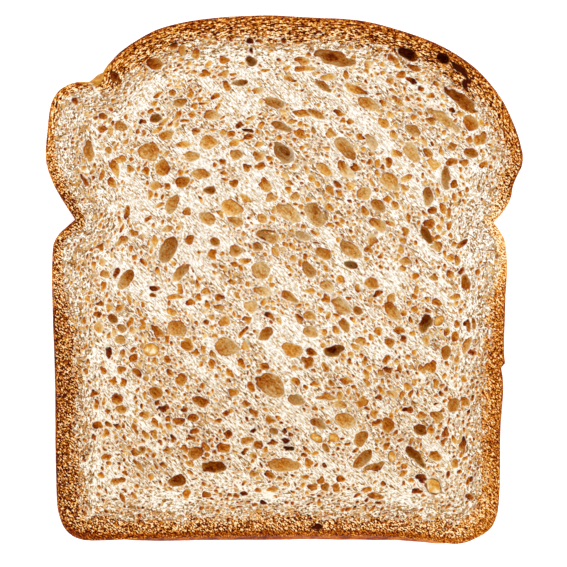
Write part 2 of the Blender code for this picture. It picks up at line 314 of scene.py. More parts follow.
@dataclass
class SolidReading:
    """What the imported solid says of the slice: the wall's rings, the bubbles and the kernels."""

    top: float
    rings: list[Array] = field(default_factory=list)
    bubbles: dict[Side, list[Bubble]] = field(default_factory=dict)
    kernels: list[Bubble] = field(default_factory=list)

    @classmethod
    def read(cls, solid: Piece) -> "SolidReading":
        """Take a copy of the solid apart at its two flat faces, and sort what is left.

        Args:
            solid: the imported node's object, which stays as it is.

        Returns:
            The reading.
        """
        model = bmesh.new()
        model.from_mesh(solid.data)
        bmesh.ops.remove_doubles(model, verts=model.verts, dist=SEAM)
        model.faces.index_update()
        reading = cls(top=cls._cut_height(model), bubbles={side: [] for side in Side})
        for island in cls._islands(model, reading.top):
            reading._sort(island)
        model.free()
        return reading

    @staticmethod
    def _cut_height(model: bmesh.types.BMesh) -> float:
        """Return the height of the cut face: the level that holds most of the upward area."""
        areas: dict[float, float] = {}
        for face in model.faces:
            if face.normal.z > 0.999:
                level = round(face.verts[0].co.z, 6)
                areas[level] = areas.get(level, 0.0) + face.calc_area()
        return max(areas, key=lambda level: areas[level])

    @staticmethod
    def _islands(model: bmesh.types.BMesh, top: float) -> list[Island]:
        """Return the joined groups of faces that are left without the two flat ones, always in one order."""
        def flat(face: bmesh.types.BMFace) -> bool:
            """Say whether a face lies in one of the two flat faces."""
            return any(all(abs(vert.co.z - level) < SEAM for vert in face.verts) for level in (0.0, top))

        left = {face.index: face for face in model.faces if not flat(face)}
        islands = []
        while left:
            island = []
            border = [left.pop(next(iter(left)))]
            while border:
                face = border.pop()
                island.append(face)
                for edge in face.edges:
                    border += [left.pop(other.index) for other in edge.link_faces if other.index in left]
            islands.append(island)
        return islands

    def _sort(self, island: Island) -> None:
        """File one island as the wall, as a bubble of either face or as a kernel."""
        verts = list(dict.fromkeys(vert for face in island for vert in face.verts))
        places = np.array([vert.co for vert in verts])
        low, high = places[:, 2].min(), places[:, 2].max()
        if low < SEAM and high > self.top - SEAM:
            self.rings = self._rings_of(verts)
            return
        level = 0.0 if low < SEAM else self.top
        rim = places[np.abs(places[:, 2] - level) < SEAM][:, :2]
        if len(rim) < 5:
            return
        *oval, swell = oval_of(rim, FULL_LOBES if len(rim) >= FULL_RIM_CORNERS else 1)
        if high > self.top + SEAM:
            self.kernels.append(Bubble(*oval, depth=high - self.top, tone=0.0, swell=swell))
            return
        depth = high if level == 0.0 else self.top - low
        # Painted shade: a deeper hollow gets a darker inside.
        tone = float(np.interp(depth / MM, DEPTHS_MM, SHADE_TONES))
        side = Side.BACK if level == 0.0 else Side.FRONT
        self.bubbles[side].append(Bubble(*oval, depth=depth, tone=tone, swell=swell))

    @staticmethod
    def _rings_of(verts: list[Vert]) -> list[Array]:
        """Return the wall's level rings of points, lowest first, in step with one another."""
        levels: dict[float, set[Vert]] = {}
        for vert in verts:
            levels.setdefault(round(vert.co.z, 5), set()).add(vert)
        heights = sorted(levels)
        middle = len(heights) // 2
        rings = {middle: SolidReading._walk(levels[heights[middle]])}
        for index in [*range(middle - 1, -1, -1), *range(middle + 1, len(heights))]:
            beside = rings[index + (1 if index < middle else -1)]
            rings[index] = [SolidReading._partner(vert, levels[heights[index]]) for vert in beside]
        return [SolidReading._parted(np.array([vert.co for vert in rings[index]])) for index in sorted(rings)]

    @staticmethod
    def _walk(group: set[Vert]) -> list[Vert]:
        """Return one level's vertices in order, counter-clockwise from the lowest."""
        ring = [min(group, key=lambda vert: (vert.co.y, vert.co.x))]
        while len(ring) < len(group):
            ahead = [edge.other_vert(ring[-1]) for edge in ring[-1].link_edges]
            ahead = [vert for vert in ahead if vert in group and vert not in ring[-2:]]
            ring.append(max(ahead, key=lambda vert: vert.co.x) if len(ring) == 1 else ahead[0])
        return ring

    @staticmethod
    def _partner(vert: Vert, group: set[Vert]) -> Vert:
        """Return the vertex of the next level that an edge joins to this one most steeply."""
        joined = [edge.other_vert(vert) for edge in vert.link_edges]
        return min((other for other in joined if other in group),
                   key=lambda other: (other.co.xy - vert.co.xy).length)

    @staticmethod
    def _parted(ring: Array) -> Array:
        """Draw apart the points of a ring that lie on one another."""
        ahead = np.roll(ring, -1, 0)
        joined = (np.linalg.norm(ahead - ring, axis=1) < SEAM)[:, None]
        back = np.where(joined, np.roll(ring, 1, 0) - ring, 0)
        forth = np.where(np.roll(joined, 1, 0), ahead - ring, 0)
        return ring + 0.1 * (back + forth)


# --- Loops, noise, bake and flow ----------------------------------------------------------------------


@dataclass(frozen=True)
class Loop:
    """A closed loop of points in the plane, counter-clockwise."""

    points: Array
    chunk: int = 2048
    coarse_stride: int = 8
    near: float = 3 * MM

    def _gaps(self, places: Array, loop: Array) -> tuple[Array, Array]:
        """Return the nearest point of a loop to each place, and which places are inside it."""
        chord = np.roll(loop, -1, 0) - loop
        squared = (chord ** 2).sum(1)
        rise = np.where(chord[:, 1] == 0, 1e-12, chord[:, 1])
        low = loop[:, 1]
        high = np.roll(low, -1)
        nearest = np.empty_like(places)
        inside = np.empty(len(places), bool)
        for first in range(0, len(places), self.chunk):
            part = places[first:first + self.chunk]
            offset = part[:, None] - loop
            share = ((offset * chord).sum(2) / squared).clip(0, 1)
            gap = offset - share[..., None] * chord
            best = (gap ** 2).sum(2).argmin(1)
            stop = first + len(part)
            nearest[first:stop] = part - gap[np.arange(len(part)), best]
            level = part[:, 1:]
            crossing = loop[:, 0] + (level - low) * chord[:, 0] / rise
            crossed = ((low > level) != (high > level)) & (part[:, :1] < crossing)
            inside[first:stop] = crossed.sum(1) % 2 == 1
        return nearest, inside

    def room(self, places: Array) -> Array:
        """Return how far inside the loop each place lies, negative outside."""
        nearest, inside = self._gaps(places, self.points[::self.coarse_stride])
        room = np.linalg.norm(places - nearest, axis=1) * np.where(inside, 1, -1)
        close = np.abs(room) < self.near
        nearest, inside = self._gaps(places[close], self.points)
        room[close] = np.linalg.norm(places[close] - nearest, axis=1) * np.where(inside, 1, -1)
        return room

    def nearest(self, places: Array) -> Array:
        """Return the loop's point nearest to each place."""
        return self._gaps(places, self.points)[0]


class Noise:
    """Smooth seeded noise in space, from -1 to 1."""

    def __init__(self, seed: int, period: int = 96) -> None:
        """Draw the lattice of random values that the noise runs between."""
        self.period = period
        self.values = np.random.default_rng(seed).uniform(-1, 1, (period, period, period))

    def at(self, feature: float, x: Array, y: Array, z: Array | float = 0.0) -> Array:
        """Return the noise at places, with one hill or dip to each feature length.

        Args:
            feature: the distance between hills and dips.
            x: the places' x.
            y: the places' y.
            z: the places' z, or one height for all.

        Returns:
            One value for each place.
        """
        axes = [np.asarray(axis, float) / feature + self.period / 2 for axis in np.broadcast_arrays(x, y, z)]
        cells = [np.floor(axis).astype(int) for axis in axes]
        shares = [axis - cell for axis, cell in zip(axes, cells)]
        shares = [share * share * (3 - 2 * share) for share in shares]
        total = np.zeros(axes[0].shape)
        for corner in range(8):
            weight = np.ones(axes[0].shape)
            index = []
            for bit, (cell, share) in enumerate(zip(cells, shares)):
                step = corner >> bit & 1
                weight = weight * (share if step else 1 - share)
                index.append((cell + step) % self.period)
            total += weight * self.values[tuple(index)]
        return total


def ease(value: Array, start: float, end: float) -> Array:
    """Return a smooth step from 0 at start to 1 at end."""
    share = ((value - start) / (end - start)).clip(0, 1)
    return share * share * (3 - 2 * share)


def curve(share: Array | float, start: Array, leaving: Array, end: Array,
          arriving: Array) -> Array:
    """Return places on a smooth curve.

    Args:
        share: how far along the curve they are, from 0 to 1.
        start: where it starts.
        leaving: its direction there.
        end: where it ends.
        arriving: its direction there.

    Returns:
        The places.
    """
    square, cube = share ** 2, share ** 3
    places = (2 * cube - 3 * square + 1) * start + (cube - 2 * square + share) * leaving
    return places + (3 * square - 2 * cube) * end + (cube - square) * arriving


@dataclass(frozen=True)
class BakeSpot:
    """How the oven left the crust at one place: its width on the cut face and how brown it is."""

    x_mm: float
    y_mm: float
    width_mm: float
    brown: float


BAKE_SPOTS = {
    "left wall": BakeSpot(-57, -20, 5.3, 0.81),
    "left wall low": BakeSpot(-56, -50, 5.8, 0.78),
    "right wall": BakeSpot(53, -20, 4.2, 0.60),
    "right wall low": BakeSpot(53, -45, 4.6, 0.60),
    "heel left": BakeSpot(-25, -63, 4.6, 0.66),
    "heel right": BakeSpot(25, -63, 4.4, 0.63),
    "heel corner": BakeSpot(48, -60, 5.0, 0.50),
    "crown": BakeSpot(0, 64, 5.4, 0.68),
    "crown left": BakeSpot(-34, 56, 6.0, 0.71),
    "crown right": BakeSpot(38, 52, 5.4, 0.75),
    "crown low right": BakeSpot(55, 38, 4.6, 0.67),
    "right lobe": BakeSpot(56, 22, 4.2, 0.61),
    "right crease": BakeSpot(51.3, 14.6, 1.2, 0.12),
    "left lobe": BakeSpot(-58, 32, 1.9, 0.48),
    "left lobe top": BakeSpot(-53, 46, 1.7, 0.52),
    "left lobe low": BakeSpot(-57, 25, 2.6, 0.54),
    "left crease": BakeSpot(-51.0, 14.0, 1.6, 0.80),
    "left crease top": BakeSpot(-54.0, 19.5, 3.0, 0.82),
    "left wall top": BakeSpot(-55.5, 9.5, 2.2, 0.52),
}
SPOT_BLEND_MM = 6.0


def bake_at(x: Array, y: Array) -> tuple[Array, Array]:
    """Blend the bake spots over the plane.

    Args:
        x: the places' x.
        y: the places' y.

    Returns:
        The crust's width and how brown it is at each place.
    """
    total = np.zeros_like(x)
    width = np.zeros_like(x)
    brown = np.zeros_like(x)
    for spot in BAKE_SPOTS.values():
        apart = (x / MM - spot.x_mm) ** 2 + (y / MM - spot.y_mm) ** 2
        weight = (apart + SPOT_BLEND_MM ** 2) ** -2
        total += weight
        width += weight * spot.width_mm * MM
        brown += weight * spot.brown
    return width / total, brown / total


@dataclass(frozen=True)
class DoughFlow:
    """The way the dough stretched as it rose: round the slice at its walls, on a slant in its middle."""

    centre_y: float = -6 * MM
    half_width: float = 50 * MM
    half_height: float = 60 * MM
    squareness: float = 3.0
    slant: float = math.radians(-45)
    middle: float = 16 * MM
    walls: float = 42 * MM

    def tilt(self, x: float, y: float) -> float:
        """Return the direction of the flow at one place.

        Args:
            x: the place's x.
            y: the place's y.

        Returns:
            The angle from +X, a blend of the slant and of the way round the slice.
        """
        east = math.copysign(abs(x / self.half_width) ** (self.squareness - 1), x) / self.half_width
        rise = y - self.centre_y
        north = math.copysign(abs(rise / self.half_height) ** (self.squareness - 1), rise) / self.half_height
        ring = abs(x / self.half_width) ** self.squareness + abs(rise / self.half_height) ** self.squareness
        ring = ring ** (1 / self.squareness) * self.half_width
        share = float(ease(np.array(ring), self.middle, self.walls))
        round_it = math.atan2(north, east) + math.pi / 2
        sine = share * math.sin(2 * round_it) + (1 - share) * math.sin(2 * self.slant)
        cosine = share * math.cos(2 * round_it) + (1 - share) * math.cos(2 * self.slant)
        return math.atan2(sine, cosine) / 2


FLOW = DoughFlow()


# --- The crust ----------------------------------------------------------------------------------------


@dataclass
class Crust:
    """The baked skin round the slice: a thin shell from the edge of one cut face to the other's.

    It starts as a flat grid, whose columns run round the wall and whose rows run up it.
    """

    rings: list[Array]
    pieces_per_step: int = 8
    wall_rows: int = 30
    edge_rows: int = 4
    sharp_turn: float = math.radians(24)
    sharp_edge: float = math.radians(50)
    dent: float = 0.16 * MM
    dent_size: float = 4.5 * MM
    wrinkle: float = 0.07 * MM
    wrinkle_size: float = 1.3 * MM
    wrinkle_height: float = 0.6
    edge_press: float = 0.35
    edge_reach: float = 1.5 * MM
    crease_x: float = -45.5 * MM
    crease_y: float = 49.5 * MM
    crease_reach: float = 5.5 * MM
    map_rows: int = 6
    seed: int = 5
    sheet: Array = field(init=False)

    def __post_init__(self) -> None:
        """Lay the sheet of points that the shell follows."""
        fine = [self._smooth(ring) for ring in self.rings]
        back_edge = self._rounded(fine[1], fine[0])[::-1]
        front_edge = self._rounded(fine[-2], fine[-1])
        self.sheet = self._weathered(np.array([*back_edge, *self._climb(fine[1:-1]), *front_edge]))

    def _smooth(self, ring: Array) -> Array:
        """Return a ring with smooth curves between its points, and its sharp corners kept."""
        behind = np.roll(ring, 1, 0)
        ahead = np.roll(ring, -1, 0)
        into = np.arctan2(*(ring - behind)[:, 1::-1].T)
        out_of = np.arctan2(*(ahead - ring)[:, 1::-1].T)
        turn = np.abs((out_of - into + math.pi) % math.tau - math.pi)
        sharp = (turn > self.sharp_turn)[:, None]
        leaving = np.where(sharp, ahead - ring, (ahead - behind) / 2)
        arriving = np.where(np.roll(sharp, -1), ahead - ring, np.roll((ahead - behind) / 2, -1, 0))
        share = (np.arange(self.pieces_per_step) / self.pieces_per_step)[:, None, None]
        return curve(share, ring, leaving, ahead, arriving).transpose(1, 0, 2).reshape(-1, 3)

    def _rounded(self, outer: Array, inner: Array) -> list[Array]:
        """Return the rows of the round edge from an outer ring over to the inner one on the face."""
        rows = []
        for step in range(1, self.edge_rows + 1):
            turn = math.pi / 2 * step / self.edge_rows
            row = outer + (inner - outer) * (1 - math.cos(turn))
            row[:, 2] = outer[:, 2] + (inner - outer)[:, 2] * math.sin(turn)
            rows.append(row)
        return rows

    def _climb(self, rings: list[Array]) -> list[Array]:
        """Return evenly spaced rows up the wall, on smooth curves through its rings."""
        levels = np.array([ring[0, 2] for ring in rings])
        stack = np.array(rings)
        slopes = np.gradient(stack, levels, axis=0)
        rows = []
        for level in np.linspace(levels[0], levels[-1], self.wall_rows + 1):
            index = min(max(int(np.searchsorted(levels, level)) - 1, 0), len(levels) - 2)
            span = levels[index + 1] - levels[index]
            rows.append(curve((level - levels[index]) / span, stack[index], span * slopes[index],
                              stack[index + 1], span * slopes[index + 1]))
        return rows

    def _weathered(self, sheet: Array) -> Array:
        """Press shallow dents and wrinkles into the sheet, fading out at the two cut faces."""
        noise = Noise(self.seed)
        x, y, z = sheet[..., 0], sheet[..., 1], sheet[..., 2]
        along = np.roll(sheet, -1, 1) - np.roll(sheet, 1, 1)
        inward = np.stack([-along[..., 1], along[..., 0]], -1)
        inward /= np.linalg.norm(inward, axis=-1, keepdims=True)
        press = self.dent * (1 + noise.at(self.dent_size, x, y, z)) / 2
        press += self.wrinkle * (1 + noise.at(self.wrinkle_size, x, y, z * self.wrinkle_height)) / 2
        press += self.wrinkle * (1 + noise.at(self.wrinkle_size / 2, x, y, z)) / 4
        calm = self.edge_press
        press *= calm + (1 - calm) * ease(np.minimum(z, z.max() - z), 0.0, self.edge_reach)
        sheet = sheet.copy()
        sheet[..., :2] += inward * press[..., None]
        return sheet

    def loop(self, side: Side) -> Loop:
        """Return the shell's edge on one cut face."""
        return Loop(self.sheet[-1 if side is Side.FRONT else 0][:, :2])

    def build(self, name: str) -> Piece:
        """Wrap a grid round the slice, join its ends and close it with an inner wall.

        Args:
            name: the piece's name.

        Returns:
            The piece.
        """
        rows, columns = self.sheet.shape[:2]
        piece, column, row = grid_of(name, columns + 1, rows)
        places = self.sheet[row, column % columns]
        set_coordinates(piece, places)
        self._lay_out(piece, column, row)
        crease = np.hypot(places[:, 0] - self.crease_x, places[:, 1] - self.crease_y)
        write_masks(piece, {"brown": bake_at(places[:, 0], places[:, 1])[1],
                            "height": places[:, 2] / self.sheet[..., 2].max(),
                            "golden": ease(crease, self.crease_reach, 0.6 * self.crease_reach)})
        for join in (lambda: bpy.ops.mesh.remove_doubles(threshold=SEAM / 10),
                     bpy.ops.mesh.bridge_edge_loops):
            select_edges(piece, open_edges(piece))
            edit(piece, join, "EDGE")
        smooth_shell(piece, self.sharp_edge)
        return piece

    def _lay_out(self, piece: Piece, column: Array, row: Array) -> None:
        """Fold the unrolled skin into the rows of its map."""
        rows, columns = self.sheet.shape[:2]
        verts = corner_verts(piece)
        per_row = math.ceil(columns / self.map_rows)
        first_column = np.minimum.reduceat(column[verts], face_starts(piece))
        band = np.repeat(first_column // per_row, face_sizes(piece))
        across = (column[verts] - band * per_row) / per_row
        up = (row[verts] / (rows - 1) * 0.9 + 0.05 + band) / self.map_rows
        write_map(piece, np.stack([0.02 + 0.96 * across, up], 1))


# --- Bubbles read from the photo ----------------------------------------------------------------------


PICTURE_UNIT = 130 * MM / 530.5
PICTURE_MIDDLE_ACROSS = 284.3
PICTURE_MIDDLE_DOWN = 280.25

# The medium bubbles of the cut face, in the photo's pixels: across, down, length, width, tilt in degrees,
# and the tone of their painted shade from 0, pale, to 1, nearly black.
MEDIUM_BUBBLES = [
    (75, 101, 8, 8, 0, 0.7), (115, 78, 13, 9, -45, 0.58), (103, 116, 10, 7, 0, 0.65),
    (102, 128.5, 9, 8, 0, 0.6), (115, 168, 20, 6, -65, 0.36), (112, 183, 13, 6, -60, 0.5),
    (85, 182, 15, 7, -60, 0.65), (102, 175, 10, 5, 70, 0.5), (121, 159, 12, 7, 0, 0.36),
    (130, 170, 10, 8, 0, 0.35), (143, 122, 6, 5, 0, 0.7), (138, 131, 7, 7, 0, 0.5),
    (143, 133, 7, 7, 0, 0.5), (184, 144, 14, 9, 0, 0.3), (146, 171, 9, 8, 0, 0.5),
    (157, 186, 16, 9, 0, 0.35), (167, 186, 8, 6, 0, 0.58), (190, 93, 9, 6, 90, 0.4),
    (192, 115, 9, 7, 0, 0.35), (196, 131, 9, 6, 0, 0.5), (174, 46, 9, 5, 0, 0.6),
    (196, 54, 9, 9, 0, 0.45), (205, 74, 10, 8, 0, 0.45), (224, 60, 11, 9, 0, 0.5),
    (250, 41, 8, 5, 0, 0.85), (251, 51, 6, 4, 0, 0.8), (284, 41, 6, 6, 0, 0.6), (303, 61, 17, 6, 0, 0.4),
    (306, 69, 22, 6, 0, 0.35), (328, 77, 16, 8, 0, 0.25), (346, 75, 9, 8, 0, 0.5),
    (227, 86, 9, 6, -30, 0.5), (215, 96, 8, 6, 0, 0.5), (257, 91, 14, 6, 0, 0.4),
    (290, 79, 14, 5, -15, 0.5), (302, 113, 18, 6, -10, 0.45), (340, 113, 12, 7, -25, 0.5),
    (240, 125, 11, 7, 0, 0.6), (249, 131, 11, 3, -8, 0.85), (249, 137, 9, 5, 0, 0.6),
    (300, 134, 14, 10, -40, 0.5), (331, 133, 10, 10, 0, 0.35), (360, 137, 10, 8, 0, 0.55),
    (234, 143, 10, 8, 0, 0.35), (259, 155, 14, 9, 0, 0.35), (223, 162, 8, 7, 0, 0.6),
    (247, 167, 8, 6, 0, 0.6), (260, 166, 12, 8, 0, 0.5), (356, 167, 10, 6, -40, 0.6),
    (234, 183, 10, 8, 0, 0.55), (337, 184, 11, 7, -50, 0.6), (265, 185, 16, 9, -45, 0.45),
    (350, 186, 9, 9, 0, 0.3), (460, 71, 26, 7, -42, 0.9), (465, 84, 10, 7, -60, 0.95),
    (415, 68, 14, 7, -20, 0.6), (402, 75, 11, 8, 0, 0.5), (411, 81, 11, 7, -30, 0.75),
    (393, 59, 12, 8, -40, 0.5), (398, 101, 15, 6, -35, 0.5), (421, 89, 8, 5, 0, 0.6),
    (431, 96, 8, 5, 0, 0.40), (470, 139, 10, 7, 0, 0.55), (480, 139, 13, 13, 0, 0.45),
    (452, 110, 6, 4, 0, 0.85), (431, 121, 11, 7, -45, 0.5), (414, 117, 9, 8, 0, 0.36),
    (384, 123, 10, 10, 0, 0.4), (394, 135, 12, 6, -55, 0.36), (396, 153, 14, 7, -45, 0.36),
    (389, 162, 12, 7, -60, 0.55), (452, 146, 12, 8, 0, 0.5), (433, 164, 14, 11, -40, 0.3),
    (452, 162, 13, 9, 0, 0.5), (464, 163, 12, 8, 0, 0.45), (454, 184, 9, 8, 0, 0.65),
    (484, 165, 9, 8, 0, 0.5), (407, 178, 11, 8, 0, 0.3), (432, 211, 10, 8, -45, 0.65),
    (430, 224, 12, 10, 0, 0.6), (436, 246, 13, 10, 0, 0.4), (449, 226, 9, 7, 90, 0.5),
    (461, 244, 14, 5, 35, 0.6), (405, 232, 9, 9, 0, 0.5), (372, 239, 14, 9, -50, 0.35),
    (406, 261, 12, 9, 0, 0.4), (451, 258, 8, 6, 90, 0.38), (457, 260, 10, 5, 90, 0.5),
    (415, 276, 7, 7, 0, 0.5), (462, 272, 8, 7, 0, 0.72), (378, 294, 11, 7, 30, 0.65),
    (415, 297, 7, 7, 0, 0.55), (415, 309, 6, 6, 0, 0.5), (437, 303, 10, 9, 0, 0.5),
    (455, 297, 10, 8, 0, 0.35), (457, 324, 9, 7, 0, 0.5), (468, 325, 12, 9, 90, 0.68),
    (378, 331, 11, 7, 0, 0.4), (400, 331, 14, 8, 0, 0.55), (404, 338, 9, 9, 0, 0.65),
    (390, 343, 10, 10, 0, 0.45), (360, 342, 12, 9, 0, 0.4), (455, 336, 12, 7, 80, 0.5),
    (467, 345, 17, 6, 65, 0.42), (472, 352, 9, 5, 0, 0.6), (126, 212, 12, 8, 90, 0.55),
    (187, 211, 10, 8, 0, 0.5), (167, 229, 13, 7, 8, 0.35), (148, 219, 8, 7, 0, 0.5),
    (134, 233, 9, 8, 45, 0.5), (122, 241, 14, 8, 45, 0.4), (100, 247, 8, 8, 0, 0.6),
    (189, 240, 12, 9, 30, 0.6), (212, 255, 12, 10, 0, 0.45), (116, 274, 12, 7, 70, 0.65),
    (155, 288, 10, 7, 0, 0.7), (100, 304, 7, 7, 0, 0.7), (98, 315, 8, 6, 0, 0.66),
    (84, 321, 6, 6, 0, 0.5), (119, 308, 11, 8, 45, 0.4), (191, 303, 9, 5, 0, 0.58),
    (175, 297, 14, 7, 0, 0.35), (171, 311, 10, 8, 0, 0.4), (130, 322, 11, 6, 75, 0.5),
    (157, 331, 14, 10, -45, 0.52), (196, 353, 8, 7, 0, 0.5), (109, 352, 13, 5, 90, 0.8),
    (134, 358, 10, 9, 0, 0.55), (235, 221, 15, 10, 0, 0.4), (272, 198, 11, 9, 0, 0.35),
    (295, 196, 10, 9, 90, 0.4), (262, 218, 14, 8, -30, 0.4), (246, 199, 12, 6, -35, 0.3),
    (316, 243, 6, 3, 0, 0.7), (245, 261, 12, 5, 15, 0.4),
    (219, 297, 10, 8, 0, 0.55), (220, 308, 12, 7, -15, 0.5), (232, 282, 10, 5, 0, 0.5),
    (224, 322, 12, 10, 0, 0.35), (206, 322, 5, 5, 0, 0.7), (247, 320, 9, 8, 0, 0.4),
    (269, 316, 13, 5, -40, 0.65), (299, 318, 13, 6, -40, 0.6), (310, 316, 17, 10, -30, 0.35),
    (243, 332, 11, 4, 40, 0.5), (311, 352, 14, 7, -30, 0.62), (137, 373, 14, 9, -25, 0.6),
    (168, 360, 10, 8, 0, 0.5), (118, 399, 15, 9, 60, 0.55), (113, 381, 8, 8, 0, 0.5),
    (123, 383, 8, 6, 90, 0.5), (94, 393, 8, 8, 0, 0.7), (165, 408, 10, 8, 0, 0.75),
    (184, 409, 8, 6, 0, 0.76), (178, 421, 13, 8, -20, 0.6), (193, 418, 12, 8, 0, 0.6),
    (195, 431, 10, 7, 0, 0.64), (145, 415, 12, 8, -20, 0.4), (184, 449, 11, 7, 0, 0.5),
    (135, 453, 10, 6, -40, 0.58), (138, 466, 16, 6, -50, 0.4), (106, 456, 9, 6, 0, 0.5),
    (118, 481, 15, 7, -5, 0.5), (122, 498, 10, 4, -60, 0.6), (228, 434, 10, 8, -30, 0.7),
    (247, 440, 12, 9, 15, 0.45), (254, 431, 6, 4, 0, 0.85), (254, 413, 10, 6, -45, 0.6),
    (226, 414, 7, 5, 0, 0.6), (246, 404, 8, 7, 0, 0.5), (233, 393, 12, 9, 0, 0.45),
    (270, 420, 11, 11, 0, 0.4), (284, 431, 5, 5, 0, 0.85),
    (286, 441, 9, 4, 0, 0.95), (272, 443, 11, 5, 0, 0.6), (224, 448, 15, 10, -5, 0.5),
    (243, 494, 10, 4, -10, 0.85), (263, 503, 6, 3, 0, 0.9), (206, 495, 9, 6, 0, 0.6),
    (326, 397, 19, 8, -5, 0.4), (308, 363, 14, 11, -25, 0.5), (346, 381, 13, 9, -15, 0.5),
    (362, 402, 14, 11, 60, 0.45), (341, 405, 14, 6, -15, 0.3), (340, 478, 9, 7, 0, 0.6),
    (321, 481, 10, 8, 90, 0.5), (387, 360, 10, 8, 0, 0.45), (388, 370, 10, 9, 0, 0.75),
    (365, 361, 8, 7, 90, 0.5), (432, 367, 14, 10, 85, 0.5), (435, 456, 13, 11, 0, 0.45),
    (375, 467, 19, 9, 15, 0.55), (465, 401, 9, 9, 0, 0.5), (437, 417, 13, 11, -40, 0.45),
    (409, 410, 9, 6, 0, 0.7), (408, 387, 11, 7, -25, 0.35), (379, 397, 8, 7, 0, 0.6),
    (392, 394, 14, 7, -35, 0.30), (463, 446, 16, 6, 85, 0.6), (469, 497, 9, 8, 0, 0.7),
    (469, 480, 7, 6, 90, 0.65), (423, 478, 14, 9, 0, 0.7), (417, 491, 10, 5, 0, 0.7),
    (376, 496, 16, 6, 0, 0.45), (317, 528, 13, 6, 0, 0.85)]


# The thin walls that cross large bubbles, in the photo's pixels: from across and down, to across and down,
# and the width.
STRANDS = [(317.5, 203.7, 325, 217.5, 1.2), (263, 232, 275, 235, 1.2), (430, 328.6, 436.5, 335.7, 1.8)]

# Painted shade of deeper holes inside larger bubbles, in colour only: across, down, length, width, tilt and
# tone, as above.
SHADED_PITS = [(260, 240, 10, 6, 0, 0.85), (317, 210, 11, 8, -50, 0.58), (330, 56, 17, 8, -12, 0.74),
        (285, 150, 12, 8, -40, 0.62), (209, 472, 14, 9, 10, 0.74), (331, 349, 11, 7, -15, 0.85),
        (424.5, 318, 16, 11, 60, 0.72), (371, 450, 8, 7, 0, 0.66)]

# How the painted shade in some large bubbles looks: across, down, tone and warmth from 0, greyish tan, to 1,
# golden.
LARGE_LOOKS = [
    (303, 236, 0.24, 0.10), (260, 271, 0.44, 0.05), (289, 297, 0.27, 0.65), (316, 214, 0.38, 0.15),
    (351, 265, 0.26, 0.60), (251, 61, 0.32, 0.50), (156, 118, 0.32, 0.80), (371, 142, 0.24, 0.20),
    (309, 270, 0.38, 0.55), (210, 190, 0.36, 0.80), (283, 152.5, 0.32, 0.15), (446, 352, 0.38, 0.90),
    (466, 282, 0.46, 0.90),
    (446, 178, 0.33, 0.45), (412, 152, 0.28, 0.25), (149, 152, 0.50, 0.25), (155, 64, 0.50, 0.60),
    (323, 86, 0.36, 0.50), (378, 206, 0.38, 0.40), (334, 58, 0.48, 0.45), (195, 453, 0.56, 0.75),
    (201, 402, 0.52, 0.85), (408, 54, 0.64, 1.20), (443, 58, 0.66, 1.20), (167, 135, 0.26, 0.60),
    (251, 307, 0.22, 0.30), (311, 332, 0.26, 0.40), (426, 323.5, 0.44, 0.90), (270, 385, 0.50, 0.12),
    (240, 83, 0.32, 0.50), (415, 456, 0.40, 1.10), (427, 235, 0.36, 1.00), (267, 236, 0.40, 0.40),
    (177, 328.5, 0.44, 0.50), (227, 347, 0.42, 0.30), (341, 306, 0.42, 0.15), (181, 380, 0.50, 0.80),
    (388, 425.5, 0.48, 0.80), (421, 430, 0.52, 0.85), (462, 101, 0.50, 0.75), (289, 448.5, 0.34, 1.20),
    (263, 292, 0.24, 0.05), (177, 481.5, 0.54, 0.90), (182, 182, 0.48, 0.95),
    (288, 212, 0.34, 0.05), (207, 219, 0.36, 0.25), (322, 252, 0.38, 0.80), (327, 284, 0.36, 0.10),
    (344, 325, 0.38, 0.85), (213, 467.5, 0.46, 1.00), (335, 350, 0.38, 1.20), (163, 168, 0.48, 0.60),
    (121, 126, 0.46, 0.60),
    (187, 345, 0.38, 0.90), (317, 114, 0.34, 0.60), (201, 174, 0.42, 0.40), (236, 155, 0.40, 0.50),
    (364, 193.5, 0.30, 0.40), (454, 405, 0.44, 0.50), (208, 142, 0.38, 0.35), (471, 123, 0.44, 0.80),
    (156, 393, 0.42, 0.90)]
LOOK_REACH = 1.6 * MM

# The smooth white places in the crumb, in the photo's pixels: across, down, length, width and tilt.
PALE_SPOTS = [(268, 494, 15, 9, -30), (157, 420, 10, 9, 0), (160, 445, 12, 8, 60), (141, 448, 10, 7, 0),
              (421, 378, 12, 9, -40), (204, 300, 10, 7, 20), (440, 280, 12, 6, -30), (88, 82.5, 11, 2.0, -12),
              (97, 90.5, 17, 2.2, -50)]

# The smooth golden place at the left shoulder, in the same way.
GOLDEN_SPOT = (96, 80, 18, 11, 38)

# How golden the kernels of grain are: across, down, and from 0, a cream core, to 1, golden all over.
KERNEL_LOOKS = [(151, 350, 0.0), (439, 320.5, 0.80), (316, 438, 0.6), (334, 438, 0.6), (392, 457, 0.4)]

SMALL_BUBBLE = 7
SMALL_BUBBLE_GROWTH = 0.14 * MM


def to_plan(across: float, down: float) -> tuple[float, float]:
    """Return the place on the slice of a place in the photo's pixels."""
    return (across - PICTURE_MIDDLE_ACROSS) * PICTURE_UNIT, (PICTURE_MIDDLE_DOWN - down) * PICTURE_UNIT


def bowl_depth(tone: float, half_width: float) -> float:
    """Return how deep a bubble of one tone is, never more than its bowl holds."""
    return min(float(np.interp(tone, SHADE_TONES, DEPTHS_MM)) * MM, BOWL_DEPTH_SHARE * half_width)


def with_looks(bubble: Bubble) -> Bubble:
    """Return a large bubble of the solid as it looks in the photo, where that is listed."""
    for across, down, tone, warm in LARGE_LOOKS:
        x, y = to_plan(across, down)
        if math.hypot(bubble.x - x, bubble.y - y) < LOOK_REACH:
            return replace(bubble, tone=tone, warm=warm)
    return bubble


